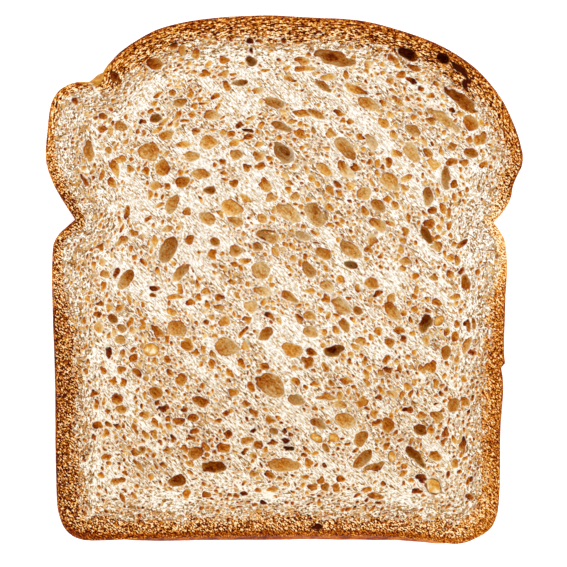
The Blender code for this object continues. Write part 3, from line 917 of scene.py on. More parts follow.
def medium_bubbles() -> list[Bubble]:
    """Return the medium bubbles at their places and sizes on the slice."""
    bubbles = []
    for across, down, length, width, tilt, tone in MEDIUM_BUBBLES:
        growth = SMALL_BUBBLE_GROWTH if width < SMALL_BUBBLE else 0.0
        half_width = width * PICTURE_UNIT / 2 + growth
        bubbles.append(Bubble(*to_plan(across, down), length * PICTURE_UNIT / 2 + growth, half_width,
                              math.radians(tilt), bowl_depth(tone, half_width), tone))
    return bubbles


# --- The crumb ----------------------------------------------------------------------------------------


@dataclass(frozen=True)
class BubbleRule:
    """A seeded rule that scatters bubbles of one class over a face."""

    count: int
    shortest_mm: float
    longest_mm: float
    palest: float
    darkest: float
    gap_mm: float
    wall_gap_mm: float = 1.5
    flattest: float = 0.5


FRONT_RULES = (
    BubbleRule(350, 1.5, 2.8, 0.24, 0.52, gap_mm=0.14, wall_gap_mm=8.0, flattest=0.35),
    BubbleRule(820, 1.0, 1.8, 0.26, 0.58, gap_mm=0.12, wall_gap_mm=5.0, flattest=0.35),
    BubbleRule(1000, 0.7, 1.2, 0.26, 0.62, gap_mm=0.12, wall_gap_mm=1.6, flattest=0.35),
)
BACK_RULES = (
    BubbleRule(70, 3.4, 6.0, 0.16, 0.50, gap_mm=0.50, wall_gap_mm=5.0),
    BubbleRule(260, 2.0, 3.3, 0.28, 0.60, gap_mm=0.30, wall_gap_mm=4.0),
    BubbleRule(700, 1.2, 2.0, 0.30, 0.62, gap_mm=0.22, wall_gap_mm=2.5),
    BubbleRule(900, 0.8, 1.2, 0.30, 0.66, gap_mm=0.16, wall_gap_mm=0.9),
)


@dataclass
class Crumb:
    """One cut face of the slice: a lattice of depths, and the masks that its finish reads."""

    side: Side
    loop: Loop
    level: float
    step: float
    seed: int
    relief: float = 0.10 * MM
    base_depth: float = 6.0 * MM
    base_share: float = 0.985
    tilt_spread: float = math.radians(18)
    # The usual direction of the painted shade inside the bubbles.
    usual_shaded_side: float = math.radians(125)
    lobe_spreads: tuple[float, ...] = (0.05, 0.10, 0.08, 0.05)
    wall: float = 0.30 * MM
    closeness: float = 0.85
    tries_each: int = 14
    band_size: float = 3.0 * MM
    band_stretch: float = 3.2
    crowd_wanted: tuple[float, float] = (0.10, 0.74)
    heel_tone: float = 0.10
    heel_part: tuple[float, float] = (-15 * MM, -35 * MM)
    wobbles: tuple[tuple[float, float], ...] = ((0.20, 2.3), (0.15, 1.1), (0.10, 0.6))
    beside_wall: tuple[float, float] = (16 * MM, 6 * MM)
    lengths_mm: tuple[float, float] = (1.0, 5.0)
    warmths: tuple[float, float] = (0.95, 0.45)
    # How much darker each bubble's inside is painted on its shaded side.
    side_shades: tuple[float, float] = (0.03, 0.16)
    powers: tuple[float, float] = (1.5, 2.1)
    bowl_floor: float = 2.4
    bowl_wall: float = 0.75
    bowl_lumps: float = 0.12
    snap_reach: float = 0.55
    snap_limit: float = 0.42
    rim_depth: float = 0.05 * MM
    rough_from: tuple[float, float] = (0.2 * MM, 2.5 * MM)
    sharp_edge: float = math.radians(60)

    def __post_init__(self) -> None:
        """Lay the lattice over the loop, and measure its room and bake."""
        self.low = self.loop.points.min(0) - self.step
        span = self.loop.points.max(0) + self.step - self.low
        self.columns, self.rows = (span / self.step).astype(int) + 1
        self.x, self.y = np.meshgrid(self.low[0] + np.arange(self.columns) * self.step,
                                     self.low[1] + np.arange(self.rows) * self.step)
        places = np.stack([self.x.ravel(), self.y.ravel()], 1)
        self.room = self.loop.room(places).reshape(self.x.shape)
        self.width, self.brown = bake_at(self.x, self.y)
        self.noise = Noise(self.seed)
        self.draw = np.random.default_rng(self.seed)
        self.bent_x = self.x + self._wobble(height_mm=1.0)
        self.bent_y = self.y + self._wobble(height_mm=9.0)
        self.rim = np.full(self.x.shape, -10.0 * MM)
        self.second = self.rim.copy()
        self.tone = np.full(self.x.shape, 0.4)
        self.warm = np.full(self.x.shape, 0.5)
        self.half = np.full(self.x.shape, 1.0 * MM)
        self.limit = np.zeros(self.x.shape)
        self.shade = np.zeros(self.x.shape)
        self.pale = np.zeros(self.x.shape)
        self.golden = np.zeros(self.x.shape)
        self.crowd = self._crowding()

    def _crowding(self) -> Array:
        """Return where pores crowd, from 0 to 1, in bands drawn out along the flow."""
        cosine, sine = math.cos(FLOW.slant), math.sin(FLOW.slant)
        along = (self.x * cosine + self.y * sine) / self.band_stretch
        across = self.y * cosine - self.x * sine
        bands = self.noise.at(self.band_size, along, across, 4 * MM)
        drawn = (self.x / self.band_stretch, self.y / self.band_stretch)
        beside = self.noise.at(self.band_size, *drawn, self.room)
        share = ease(self.room, *self.beside_wall)
        return (0.5 + 0.9 * (bands + share * (beside - bands))).clip(0, 1)

    def _bumps(self, feature_mm: float, height_mm: float) -> Array:
        """Return noise over the lattice, cut at one height."""
        return self.noise.at(feature_mm * MM, self.x, self.y, height_mm * MM)

    def _wobble(self, height_mm: float) -> Array:
        """Return the small sideways shift that bends every rim."""
        return sum(reach_mm * MM * self._bumps(size_mm, height_mm) for reach_mm, size_mm in self.wobbles)

    def _spot(self, x: float, y: float) -> tuple[int, int]:
        """Return the row and the column of the lattice point nearest to a place."""
        column = min(max(round((x - self.low[0]) / self.step), 0), self.columns - 1)
        row = min(max(round((y - self.low[1]) / self.step), 0), self.rows - 1)
        return row, column

    def scatter(self, rules: tuple[BubbleRule, ...], given: list[Bubble]) -> list[Bubble]:
        """Scatter bubbles by the rules among those given, never closer than thin walls allow.

        Args:
            rules: the classes of bubbles, largest first.
            given: the bubbles that are already there.

        Returns:
            The given bubbles and the new ones.
        """
        span = np.array([np.ptp(self.x), np.ptp(self.y)])
        bubbles = list(given)
        taken = np.array([(bubble.x, bubble.y, math.sqrt(bubble.half_length * bubble.half_width))
                          for bubble in given])
        for rule in rules:
            wanted = len(bubbles) + rule.count
            for _ in range(rule.count * self.tries_each):
                place = self.low + self.draw.random(2) * span
                half_length = self.draw.uniform(rule.shortest_mm, rule.longest_mm) * MM / 2
                half_width = half_length * self.draw.uniform(rule.flattest, rule.flattest + 0.5)
                # The darkness of the bubble's painted shade, a little darker towards the heel.
                tone = self.draw.uniform(rule.palest, rule.darkest)
                tone += self.heel_tone * float(ease(place[1], *self.heel_part))
                turn = self.draw.normal(0, self.tilt_spread)
                crowd = self.draw.uniform(*self.crowd_wanted)
                spot = self._spot(*place)
                if len(bubbles) == wanted or self.room[spot] < half_length + rule.wall_gap_mm * MM:
                    continue
                if self.crowd[spot] < crowd:
                    continue
                size = math.sqrt(half_length * half_width)
                apart = np.hypot(taken[:, 0] - place[0], taken[:, 1] - place[1])
                if (apart < self.closeness * (taken[:, 2] + size) + rule.gap_mm * MM).any():
                    continue
                bubbles.append(Bubble(place[0], place[1], half_length, half_width, FLOW.tilt(*place) + turn,
                                      bowl_depth(tone, half_width), tone))
                taken = np.append(taken, [(place[0], place[1], size)], 0)
        return bubbles

    def _dressed(self, bubble: Bubble) -> Bubble:
        """Return a bubble with seeded painted shade on one side of its inside, and with seeded lobes where it
        has none.
        """
        length_mm = 2 * bubble.half_length / MM
        warm = float(np.interp(length_mm, self.lengths_mm, self.warmths)) + self.draw.uniform(-0.25, 0.25)
        warm = warm if bubble.warm is None else bubble.warm
        lobes = self.draw.normal(0, np.repeat(self.lobe_spreads, 2))
        swell = bubble.swell if len(bubble.swell) > 1 else (1.0, *lobes)
        power = 2.0 if len(bubble.swell) > 1 else self.draw.uniform(*self.powers)
        return replace(bubble, swell=swell, warm=warm, shaded_side=self.draw.normal(self.usual_shaded_side, 1.0),
                       fade=self.draw.uniform(*self.side_shades), power=power)

    def carve(self, bubble: Bubble) -> None:
        """Mark where one bubble is, how far its rim is and how dark its inside is painted, with painted shade
        on one side.
        """
        bubble = self._dressed(bubble)
        reach = bubble.reach() * 1.1 + 3 * self.step + 0.6 * MM
        first = max(int((bubble.x - reach - self.low[0]) / self.step), 0)
        bottom = max(int((bubble.y - reach - self.low[1]) / self.step), 0)
        count = int(2 * reach / self.step) + 2
        window = (slice(bottom, bottom + count), slice(first, first + count))
        along, across = bubble.oval_place(self.bent_x[window], self.bent_y[window])
        swell = bubble.swell_at(np.arctan2(across, along))
        power = bubble.power
        radius = np.maximum((np.abs(along) ** power + np.abs(across) ** power) ** (1 / power), 1e-6)
        steep = np.hypot((np.abs(along) / radius) ** (power - 1) / bubble.half_length,
                         (np.abs(across) / radius) ** (power - 1) / bubble.half_width) / swell
        rim = np.minimum((1 - radius / swell) / steep, bubble.half_width)
        # Painted shade: the inside darkens towards one side of the bubble, as if light fell from the other
        # side.
        toward_shade = (self.x[window] - bubble.x) * math.cos(bubble.shaded_side)
        toward_shade = (toward_shade + (self.y[window] - bubble.y) * math.sin(bubble.shaded_side)) / bubble.half_width
        nearer = rim > self.rim[window]
        self.second[window] = np.where(nearer, self.rim[window], np.maximum(self.second[window], rim))
        marks = ((self.rim, rim), (self.tone, bubble.tone + bubble.fade * toward_shade.clip(-1.2, 1.2)),
                 (self.shade, toward_shade.clip(-1, 1)), (self.warm, bubble.warm), (self.limit, bubble.depth),
                 (self.half, bubble.half_width * bubble.swell[0]))
        for lattice, value in marks:
            lattice[window] = np.where(nearer, value, lattice[window])

    def cross(self, strand: tuple[float, ...]) -> None:
        """Leave a thin wall standing across a bubble."""
        start, end = np.array(to_plan(*strand[:2])), np.array(to_plan(*strand[2:4]))
        chord = end - start
        offset_x, offset_y = self.bent_x - start[0], self.bent_y - start[1]
        share = ((offset_x * chord[0] + offset_y * chord[1]) / (chord @ chord)).clip(0, 1)
        apart = np.hypot(offset_x - share * chord[0], offset_y - share * chord[1])
        self.rim = np.minimum(self.rim, apart - strand[4] * PICTURE_UNIT / 2)

    def _inside(self, across: float, down: float, length: float, width: float, tilt: float) -> Array:
        """Return how far inside an oval in the photo's pixels each place is, from 0 outside to 1."""
        oval = Bubble(*to_plan(across, down), length * PICTURE_UNIT / 2, width * PICTURE_UNIT / 2,
                      math.radians(tilt), 0.0, 0.0)
        return ease(np.hypot(*oval.oval_place(self.bent_x, self.bent_y)), 1.15, 0.85)

    def paint_pit_shade(self, pit: tuple[float, ...]) -> None:
        """Paint the darker shade of a deeper hole on an oval place inside a bubble."""
        self.tone += (pit[5] - self.tone) * self._inside(*pit[:5])

    def smooth_over(self, pale: list[tuple[float, ...]], golden: tuple[float, ...]) -> None:
        """Leave oval places of the face smooth: some white, and one golden."""
        for spot in pale:
            self.pale = np.maximum(self.pale, self._inside(*spot))
        self.golden = self._inside(*golden) * (1 - self.pale)

    def settle(self) -> None:
        """Part the bubbles by thin walls, sink their bowls, and roughen the crumb between them."""
        wall = self.wall * (1 + 0.5 * self._bumps(2.2, 6))
        self.rim = np.minimum(self.rim, (self.rim - self.second - wall) / 2)
        share = 1 - (self.rim / self.half).clip(0, 1)
        lumps = 1 + self.bowl_lumps * self._bumps(1.4, 7)
        self.depth = self.limit * (1 - share ** self.bowl_floor) ** self.bowl_wall * lumps
        grow_y, grow_x = np.gradient(self.rim, self.step)
        slope = np.maximum(grow_x ** 2 + grow_y ** 2, 0.2)
        close = (np.abs(self.rim) < self.snap_reach * self.step) & (self.room > 2 * self.step)
        limit = self.snap_limit * self.step
        shift = np.where(close, -self.rim / slope, 0)
        shift_x, shift_y = ((shift * grow).clip(-limit, limit) for grow in (grow_x, grow_y))
        self.flat_x = self.x + shift_x
        self.flat_y = self.y + shift_y
        self.rim = self.rim + grow_x * shift_x + grow_y * shift_y
        self.depth = np.where(close, np.minimum(self.depth, self.rim_depth), self.depth)
        rough = self._bumps(0.9, 2) + self._bumps(0.5, 3)
        swell = self._bumps(9, 5)
        self.depth += self.relief * (1 + rough / 2 + (1 + swell)) * ease(self.room, *self.rough_from)

    def build(self, name: str, first: int = 0, last: int = -1) -> Piece:
        """Model the face or a part of it: a grid trimmed to its loop, sunk to its depths, and closed behind.

        Args:
            name: the piece's name.
            first: the first column of the lattice that it holds.
            last: the last column that it holds.

        Returns:
            The piece.
        """
        piece, column, row = grid_of(name, last % self.columns - first + 1, self.rows)
        column = column + first
        height = self.level - self.side.value * self.depth
        set_coordinates(piece, np.stack([self.flat_x, self.flat_y, height], -1)[row, column])
        masks = {"rim": self.rim / MM, "tone": self.tone, "warm": self.warm, "edge": self.room / self.width,
                 "brown": self.brown, "room": self.room / MM, "crowd": self.crowd, "shade": self.shade,
                 "pale": self.pale, "golden": self.golden, "size": self.half / MM,
                 "bowl": (self.rim / self.half).clip(0, 1)}
        write_masks(piece, {mask: values[row, column] for mask, values in masks.items()})
        self._trim(piece, self.room[row, column] < -0.25 * self.step)
        self._close(piece)
        return piece

    def _trim(self, piece: Piece, outside: Array) -> None:
        """Delete the grid outside the loop, and draw its new edge onto the loop."""
        select_verts(piece, outside)
        edit(piece, lambda: bpy.ops.mesh.delete(type="VERT"))
        border = np.unique(edge_ends(piece)[open_edges(piece)])
        places = coordinates(piece)
        border = border[self.loop.room(places[border, :2]) < 1.5 * self.step]
        places[border, :2] = self.loop.nearest(places[border, :2])
        places[border, 2] = self.level
        set_coordinates(piece, places)

    def _close(self, piece: Piece) -> None:
        """Extrude the grid's edge inwards and cap it, so that the face is a closed slab."""
        top_count = len(piece.data.vertices)
        down = (0, 0, -self.side.value * self.base_depth)
        share = (self.base_share, self.base_share, 1)
        select_edges(piece, open_edges(piece))
        edit(piece, lambda: (bpy.ops.mesh.extrude_edges_move(TRANSFORM_OT_translate={"value": down}),
                             bpy.ops.transform.resize(value=share, center_override=(0, 0, 0)),
                             bpy.ops.mesh.edge_face_add()), "EDGE")
        self._lay_out(piece, top_count)
        smooth_shell(piece, self.sharp_edge)

    def _lay_out(self, piece: Piece, top_count: int) -> None:
        """Lay the face flat in its map, with its skirt round it and its base in the spare strip."""
        verts = corner_verts(piece)
        flat = coordinates(piece)[verts, :2]
        low = flat.min(0)
        span = np.ptp(flat, axis=0)
        on_skirt = verts >= top_count
        away = flat - low - span / 2
        away /= np.linalg.norm(away, axis=1, keepdims=True)
        spread = flat / np.where(on_skirt, self.base_share, 1)[:, None] + away * on_skirt[:, None] * 0.5 * MM
        face_spot = (spread - low) / span * (0.90, 0.96) + 0.015
        base_spot = (flat - low) / span * (0.05, 0.5) + (0.94, 0.25)
        sizes = face_sizes(piece)
        on_base = np.repeat(sizes > 4, sizes)
        write_map(piece, np.where(on_base[:, None], base_spot, face_spot))


# --- The grain ----------------------------------------------------------------------------------------


@dataclass
class Grain:
    """The cut kernels of grain that sit in the cut face."""

    kernels: list[Bubble]
    top: float
    seed: int = 11
    sink: float = 1.2 * MM
    lump: float = 0.05
    flake_length: float = 4.0 * MM
    flake_power: float = 1.35

    def build(self, name: str) -> Piece:
        """Model each kernel from a sphere, and join them.

        Args:
            name: the piece's name.

        Returns:
            The piece.
        """
        noise = Noise(self.seed, period=32)
        parts = [self._kernel(kernel, noise) for kernel in self.kernels]
        deselect_all()
        for part in parts:
            part.select_set(True)
        bpy.context.view_layer.objects.active = parts[0]
        bpy.ops.object.join()
        return named(name)

    def _kernel(self, kernel: Bubble, noise: Noise) -> Piece:
        """Model one kernel: a lobed flattened stone, sunk so that it stands as its solid does."""
        deselect_all()
        bpy.ops.mesh.primitive_uv_sphere_add(segments=40, ring_count=24, radius=1)
        part = bpy.context.active_object
        places = coordinates(part)
        turn = np.arctan2(places[:, 1], places[:, 0])
        reach = kernel.swell_at(turn)
        flake = kernel.half_length > self.flake_length / 2
        power = self.flake_power if flake else 2.0
        reach = reach * (np.abs(np.cos(turn)) ** power + np.abs(np.sin(turn)) ** power) ** (-1 / power)
        dome = 1 - (1 - places[:, 2]) ** 4 if flake else places[:, 2]
        height = np.where(places[:, 2] > 0, kernel.depth * dome, self.sink * places[:, 2])
        along = places[:, 0] * kernel.half_length * reach
        across = places[:, 1] * kernel.half_width * reach
        cosine, sine = math.cos(kernel.tilt), math.sin(kernel.tilt)
        lumps = 1 + self.lump * noise.at(1.0, *(1.5 * places[:, :2].T), places[:, 2] + kernel.x / MM)
        set_coordinates(part, np.stack([
            kernel.x + (along * cosine - across * sine) * lumps,
            kernel.y + (along * sine + across * cosine) * lumps,
            self.top + height], 1))
        golden = self._golden(kernel)
        core = golden + (1 - golden) * np.hypot(places[:, 0], places[:, 1])
        core = 0.42 + 0.45 * ease(places[:, 1], 0.2, -0.3) if flake else core
        write_masks(part, {"core": np.where(places[:, 2] > 0, core, 1)})
        part.data.shade_smooth()
        return part

    @staticmethod
    def _golden(kernel: Bubble) -> float:
        """Return how golden a kernel is, as the nearest listed one."""
        spots = [(*to_plan(across, down), golden) for across, down, golden in KERNEL_LOOKS]
        return min(spots, key=lambda spot: math.hypot(kernel.x - spot[0], kernel.y - spot[1]))[2]


# --- Finishes -----------------------------------------------------------------------------------------


Steps = tuple[int, int, int]
Colour = tuple[float, ...]

# How many times brighter than its own colour a flat patch of the cut face comes out under the lights.
LIGHT_ON_FACE = 1.13

# A distance from the crust, in millimetres, at which the grain doesn't follow it.
FAR_FROM_CRUST = 99.0


def paint(*steps: int) -> Colour:
    """Return the linear colour of a surface that shows as the given 0 to 255 steps under the lights."""
    shares = [step / 255 for step in steps]
    linear = [share / 12.92 if share <= 0.04045 else ((share + 0.055) / 1.055) ** 2.4 for share in shares]
    return (*(value / LIGHT_ON_FACE for value in linear), 1.0)


@dataclass(frozen=True)
class Value:
    """What one socket of a graph gives, which signs and short calls work on."""

    graph: Graph
    socket: bpy.types.NodeSocket

    def __add__(self, other: Value | float) -> Value:
        """Return a sum."""
        return self.graph.maths("ADD", self, other)

    def __sub__(self, other: Value | float) -> Value:
        """Return a difference."""
        return self.graph.maths("SUBTRACT", self, other)

    def __mul__(self, other: Value | float) -> Value:
        """Return a product."""
        return self.graph.maths("MULTIPLY", self, other)

    def __truediv__(self, other: Value | float) -> Value:
        """Return a quotient."""
        return self.graph.maths("DIVIDE", self, other)

    def __radd__(self, other: float) -> Value:
        """Return a number with this value added."""
        return self.graph.maths("ADD", other, self)

    def __rsub__(self, other: float) -> Value:
        """Return a number less this value."""
        return self.graph.maths("SUBTRACT", other, self)

    def __rtruediv__(self, other: float) -> Value:
        """Return a number parted by this value."""
        return self.graph.maths("DIVIDE", other, self)

    def step(self, start: Value | float, end: Value | float) -> Value:
        """Return a smooth step, from 0 where the value is start to 1 where it is end."""
        inputs = {"Value": self, "From Min": start, "From Max": end}
        return self.graph.value("MapRange", inputs, interpolation_type="SMOOTHSTEP")

    def ramp(self, stops: dict[float, Steps]) -> Value:
        """Return the colour that a row of stops gives to the value."""
        node = self.graph.node("ValToRGB", {"Fac": self})
        elements = node.color_ramp.elements
        elements.remove(elements[0])
        for place, (position, steps) in enumerate(stops.items()):
            element = elements.new(position) if place else elements[0]
            element.position = position
            element.color = paint(*steps)
        return Value(self.graph, node.outputs["Color"])


class Graph:
    """The nodes of one material or group, added and joined by short calls."""

    def __init__(self, tree: bpy.types.NodeTree) -> None:
        """Start from an empty tree."""
        self.tree = tree
        tree.nodes.clear()

    def node(self, kind: str, inputs: dict | None = None, **settings: object) -> bpy.types.Node:
        """Add a shader node.

        Args:
            kind: the node's type.
            inputs: a value or a plain number for each input, by its name or place.
            settings: the node's own properties.

        Returns:
            The node.
        """
        node = self.tree.nodes.new("ShaderNode" + kind)
        for name, value in settings.items():
            setattr(node, name, value)
        for name, value in (inputs or {}).items():
            if isinstance(value, Value):
                self.tree.links.new(value.socket, node.inputs[name])
            else:
                node.inputs[name].default_value = value
        return node

    def value(self, kind: str, inputs: dict, output: str | int = 0, **settings: object) -> Value:
        """Return one output of a new node."""
        return Value(self, self.node(kind, inputs, **settings).outputs[output])

    def maths(self, operation: str, *values: Value | float) -> Value:
        """Return the result of a sum."""
        return self.value("Math", dict(enumerate(values)), operation=operation)

    def vector(self, operation: str, first: Value, second: Value | Colour) -> Value:
        """Return the result of a sum of two vectors."""
        return self.value("VectorMath", {0: first, 1: second}, operation=operation)

    def scaled(self, vector: Value, scale: Value | float) -> Value:
        """Return a vector times a number."""
        return self.value("VectorMath", {0: vector, "Scale": scale}, operation="SCALE")

    def split(self, value: Value, kind: str = "XYZ") -> list[Value]:
        """Return the three parts of a place or of a colour."""
        return [Value(self, part) for part in self.node("Separate" + kind, {0: value}).outputs]

    def noise(self, place: Value, size: Value) -> Value:
        """Return noise with grains of one size."""
        return self.value("TexNoise", {"Vector": place, "Scale": 1.0 / size, "Detail": 1.5, "Roughness": 0.6})

    def swing(self, first: Value | float, *parts: tuple[Value, Value | float]) -> Value:
        """Return a value with parts added that swing about their middle.

        Args:
            first: the value they are added to.
            parts: values from 0 to 1, each with how far it swings from end to end.

        Returns:
            The sum.
        """
        for value, reach in parts:
            first = (value - 0.5) * reach + first
        return first

    def mix(self, share: Value, first: Value, second: Value | Colour, blend: str = "MIX") -> Value:
        """Return a mix of two colours."""
        inputs = {0: share, 6: first, 7: second}
        return self.value("Mix", inputs, 2, data_type="RGBA", blend_type=blend)

    def tinted(self, colour: Value, share: Value, red: float, green: float, blue: float) -> Value:
        """Return a colour that is multiplied by a tint, as far as the share says."""
        return self.mix(share, colour, (red, green, blue, 1.0), "MULTIPLY")


FLOAT = "NodeSocketFloat"
VECTOR = "NodeSocketVector"


class Effects:
    """The node groups that more than one finish uses, each made once."""

    def __init__(self) -> None:
        """Make each group."""
        value = {"Value": FLOAT}
        self.dough_grain = self._group("dough_grain", self._dough_grain, {"Place": VECTOR, "Size": FLOAT},
                                       value)
        self.drawn_grain = self._group("drawn_grain", self._drawn_grain, {
            "Place": VECTOR, "Room": FLOAT, "Size": FLOAT, "Stretch": FLOAT}, value)
        self.flecks = self._group("flecks", self._flecks, {"Place": VECTOR, "Size": FLOAT, "Amount": FLOAT},
                                  {"Mask": FLOAT, "Own": FLOAT})
        self.toasting = self._group("toasting", self._toasting, {"Brown": FLOAT, "Grain": FLOAT},
                                    {"Color": "NodeSocketColor"})

    @staticmethod
    def _group(name: str, fill: Callable[..., list[Value]], inputs: dict[str, str],
               outputs: dict[str, str]) -> bpy.types.NodeTree:
        """Make a group.

        Args:
            name: the group's name.
            fill: adds the group's nodes, and returns the values that it puts out.
            inputs: the socket type of each input.
            outputs: the socket type of each output.

        Returns:
            The group.
        """
        tree = bpy.data.node_groups.new(name, "ShaderNodeTree")
        graph = Graph(tree)
        for way, sockets in (("INPUT", inputs), ("OUTPUT", outputs)):
            for socket, kind in sockets.items():
                tree.interface.new_socket(socket, in_out=way, socket_type=kind)
        given = tree.nodes.new("NodeGroupInput").outputs
        results = fill(graph, *(Value(graph, given[socket]) for socket in inputs))
        ends = tree.nodes.new("NodeGroupOutput").inputs
        for socket, result in zip(outputs, results):
            tree.links.new(result.socket, ends[socket])
        return tree

    @staticmethod
    def _dough_grain(graph: Graph, place: Value, size: Value) -> list[Value]:
        """Make an even spread of values from 0 to 1 in grains of a given size."""
        return [graph.noise(place, size).step(0.28, 0.72)]

    @staticmethod
    def _drawn_grain(graph: Graph, place: Value, room: Value, size: Value, stretch: Value) -> list[Value]:
        """Make grains that are drawn out as the dough flowed: on a slant, and along the walls beside them."""
        scale = graph.value("CombineXYZ", {0: stretch, 1: 0.85, 2: 1.0})
        turned = {"Vector": place, "Rotation": (0, 0, FLOW.slant), "Scale": scale}
        slanted = graph.noise(graph.value("Mapping", turned, vector_type="TEXTURE"), size)
        x, y, _ = graph.split(place)
        beside = graph.noise(graph.value("CombineXYZ", {0: x / stretch, 1: y / stretch, 2: room}), size)
        return [((beside - slanted) * room.step(16.0, 6.0) + slanted).step(0.30, 0.70)]

    @staticmethod
    def _flecks(graph: Graph, place: Value, size: Value, amount: Value) -> list[Value]:
        """Make small specks of uneven size and shape, each with a value of its own."""
        scale = 1.0 / size
        push = graph.value("TexNoise", {"Vector": place, "Detail": 1.0, "Scale": scale * 1.6}, "Color")
        push = graph.scaled(graph.vector("SUBTRACT", push, (0.5, 0.5, 0.5)), size)
        cells = graph.node("TexVoronoi", {"Vector": graph.vector("ADD", place, push), "Scale": scale}).outputs
        girth, own, _ = graph.split(Value(graph, cells["Color"]), "Color")
        radius = (girth * 0.5 + 0.2) * amount
        return [Value(graph, cells["Distance"]).step(radius, radius - 0.12), own]

    @staticmethod
    def _toasting(graph: Graph, brown: Value, grain: Value) -> list[Value]:
        """Make the colour of baked crust from how brown it is and from a grain value."""
        return [((0.6 - brown) * 0.8 + grain).ramp({
            0.00: (56, 10, 8), 0.12: (90, 22, 6), 0.26: (134, 46, 6), 0.42: (172, 80, 8),
            0.58: (208, 120, 24), 0.74: (238, 169, 66), 0.90: (254, 214, 134), 1.00: (255, 240, 204)})]


class Skin(Graph):
    """The nodes of a material, with the place on the piece in millimetres and the grains of the dough."""

    def __init__(self, tree: bpy.types.NodeTree, effects: Effects) -> None:
        """Start with the nodes that give the place."""
        super().__init__(tree)
        self.effects = effects
        self.place = self.scaled(self.value("TexCoord", {}, "Object"), 1 / MM)
        self.x, self.y, _ = self.split(self.place)

    def mask(self, name: str) -> Value:
        """Return a number that is kept on the mesh."""
        return self.value("Attribute", {}, "Fac", attribute_name=name)

    def grain(self, size: float, place: Value | None = None) -> Value:
        """Return the dough's grain at a place, or at the piece's own."""
        inputs = {"Place": place or self.place, "Size": size}
        return self.value("Group", inputs, node_tree=self.effects.dough_grain)

    def drawn_grain(self, size: float, stretch: float = 2.5, place: Value | None = None,
                    room: float | None = None) -> Value:
        """Return the drawn-out grain at a place, and at its own or a given distance from the crust."""
        inputs = {"Place": place or self.place, "Room": room or self.mask("room"), "Size": size,
                  "Stretch": stretch}
        return self.value("Group", inputs, node_tree=self.effects.drawn_grain)

    def specks(self, size: float, amount: Value, place: Value | None = None) -> list[Value]:
        """Return the mask of specks of one size, and the value that each has of its own."""
        inputs = {"Place": place or self.place, "Size": size, "Amount": amount}
        group = self.node("Group", inputs, node_tree=self.effects.flecks)
        return [Value(self, output) for output in group.outputs]

    def toast(self, brown: Value, grain: Value) -> Value:
        """Return the colour of baked crust."""
        return self.value("Group", {"Brown": brown, "Grain": grain}, node_tree=self.effects.toasting)


@dataclass(frozen=True)
class Finish:
    """What every finish of the slice has: its name and how it takes light."""

    name: str
    roughness: float
    bump: float
    shine: float = 0.1

    def material(self, effects: Effects) -> bpy.types.Material:
        """Make the material.

        Args:
            effects: the shared node groups.

        Returns:
            The material.
        """
        material = bpy.data.materials.new(self.name)
        material.use_nodes = True
        skin = Skin(material.node_tree, effects)
        colour, height = self.surface(skin)
        shader = skin.value("BsdfPrincipled", {
            "Base Color": colour, "Roughness": self.roughness, "Specular IOR Level": self.shine,
            "Normal": skin.value("Bump", {"Height": height, "Distance": self.bump}, "Normal")})
        skin.node("OutputMaterial", {"Surface": shader})
        return material

    def surface(self, skin: Skin) -> tuple[Value, Value]:
        """Return the surface's colour and its height."""
        raise NotImplementedError


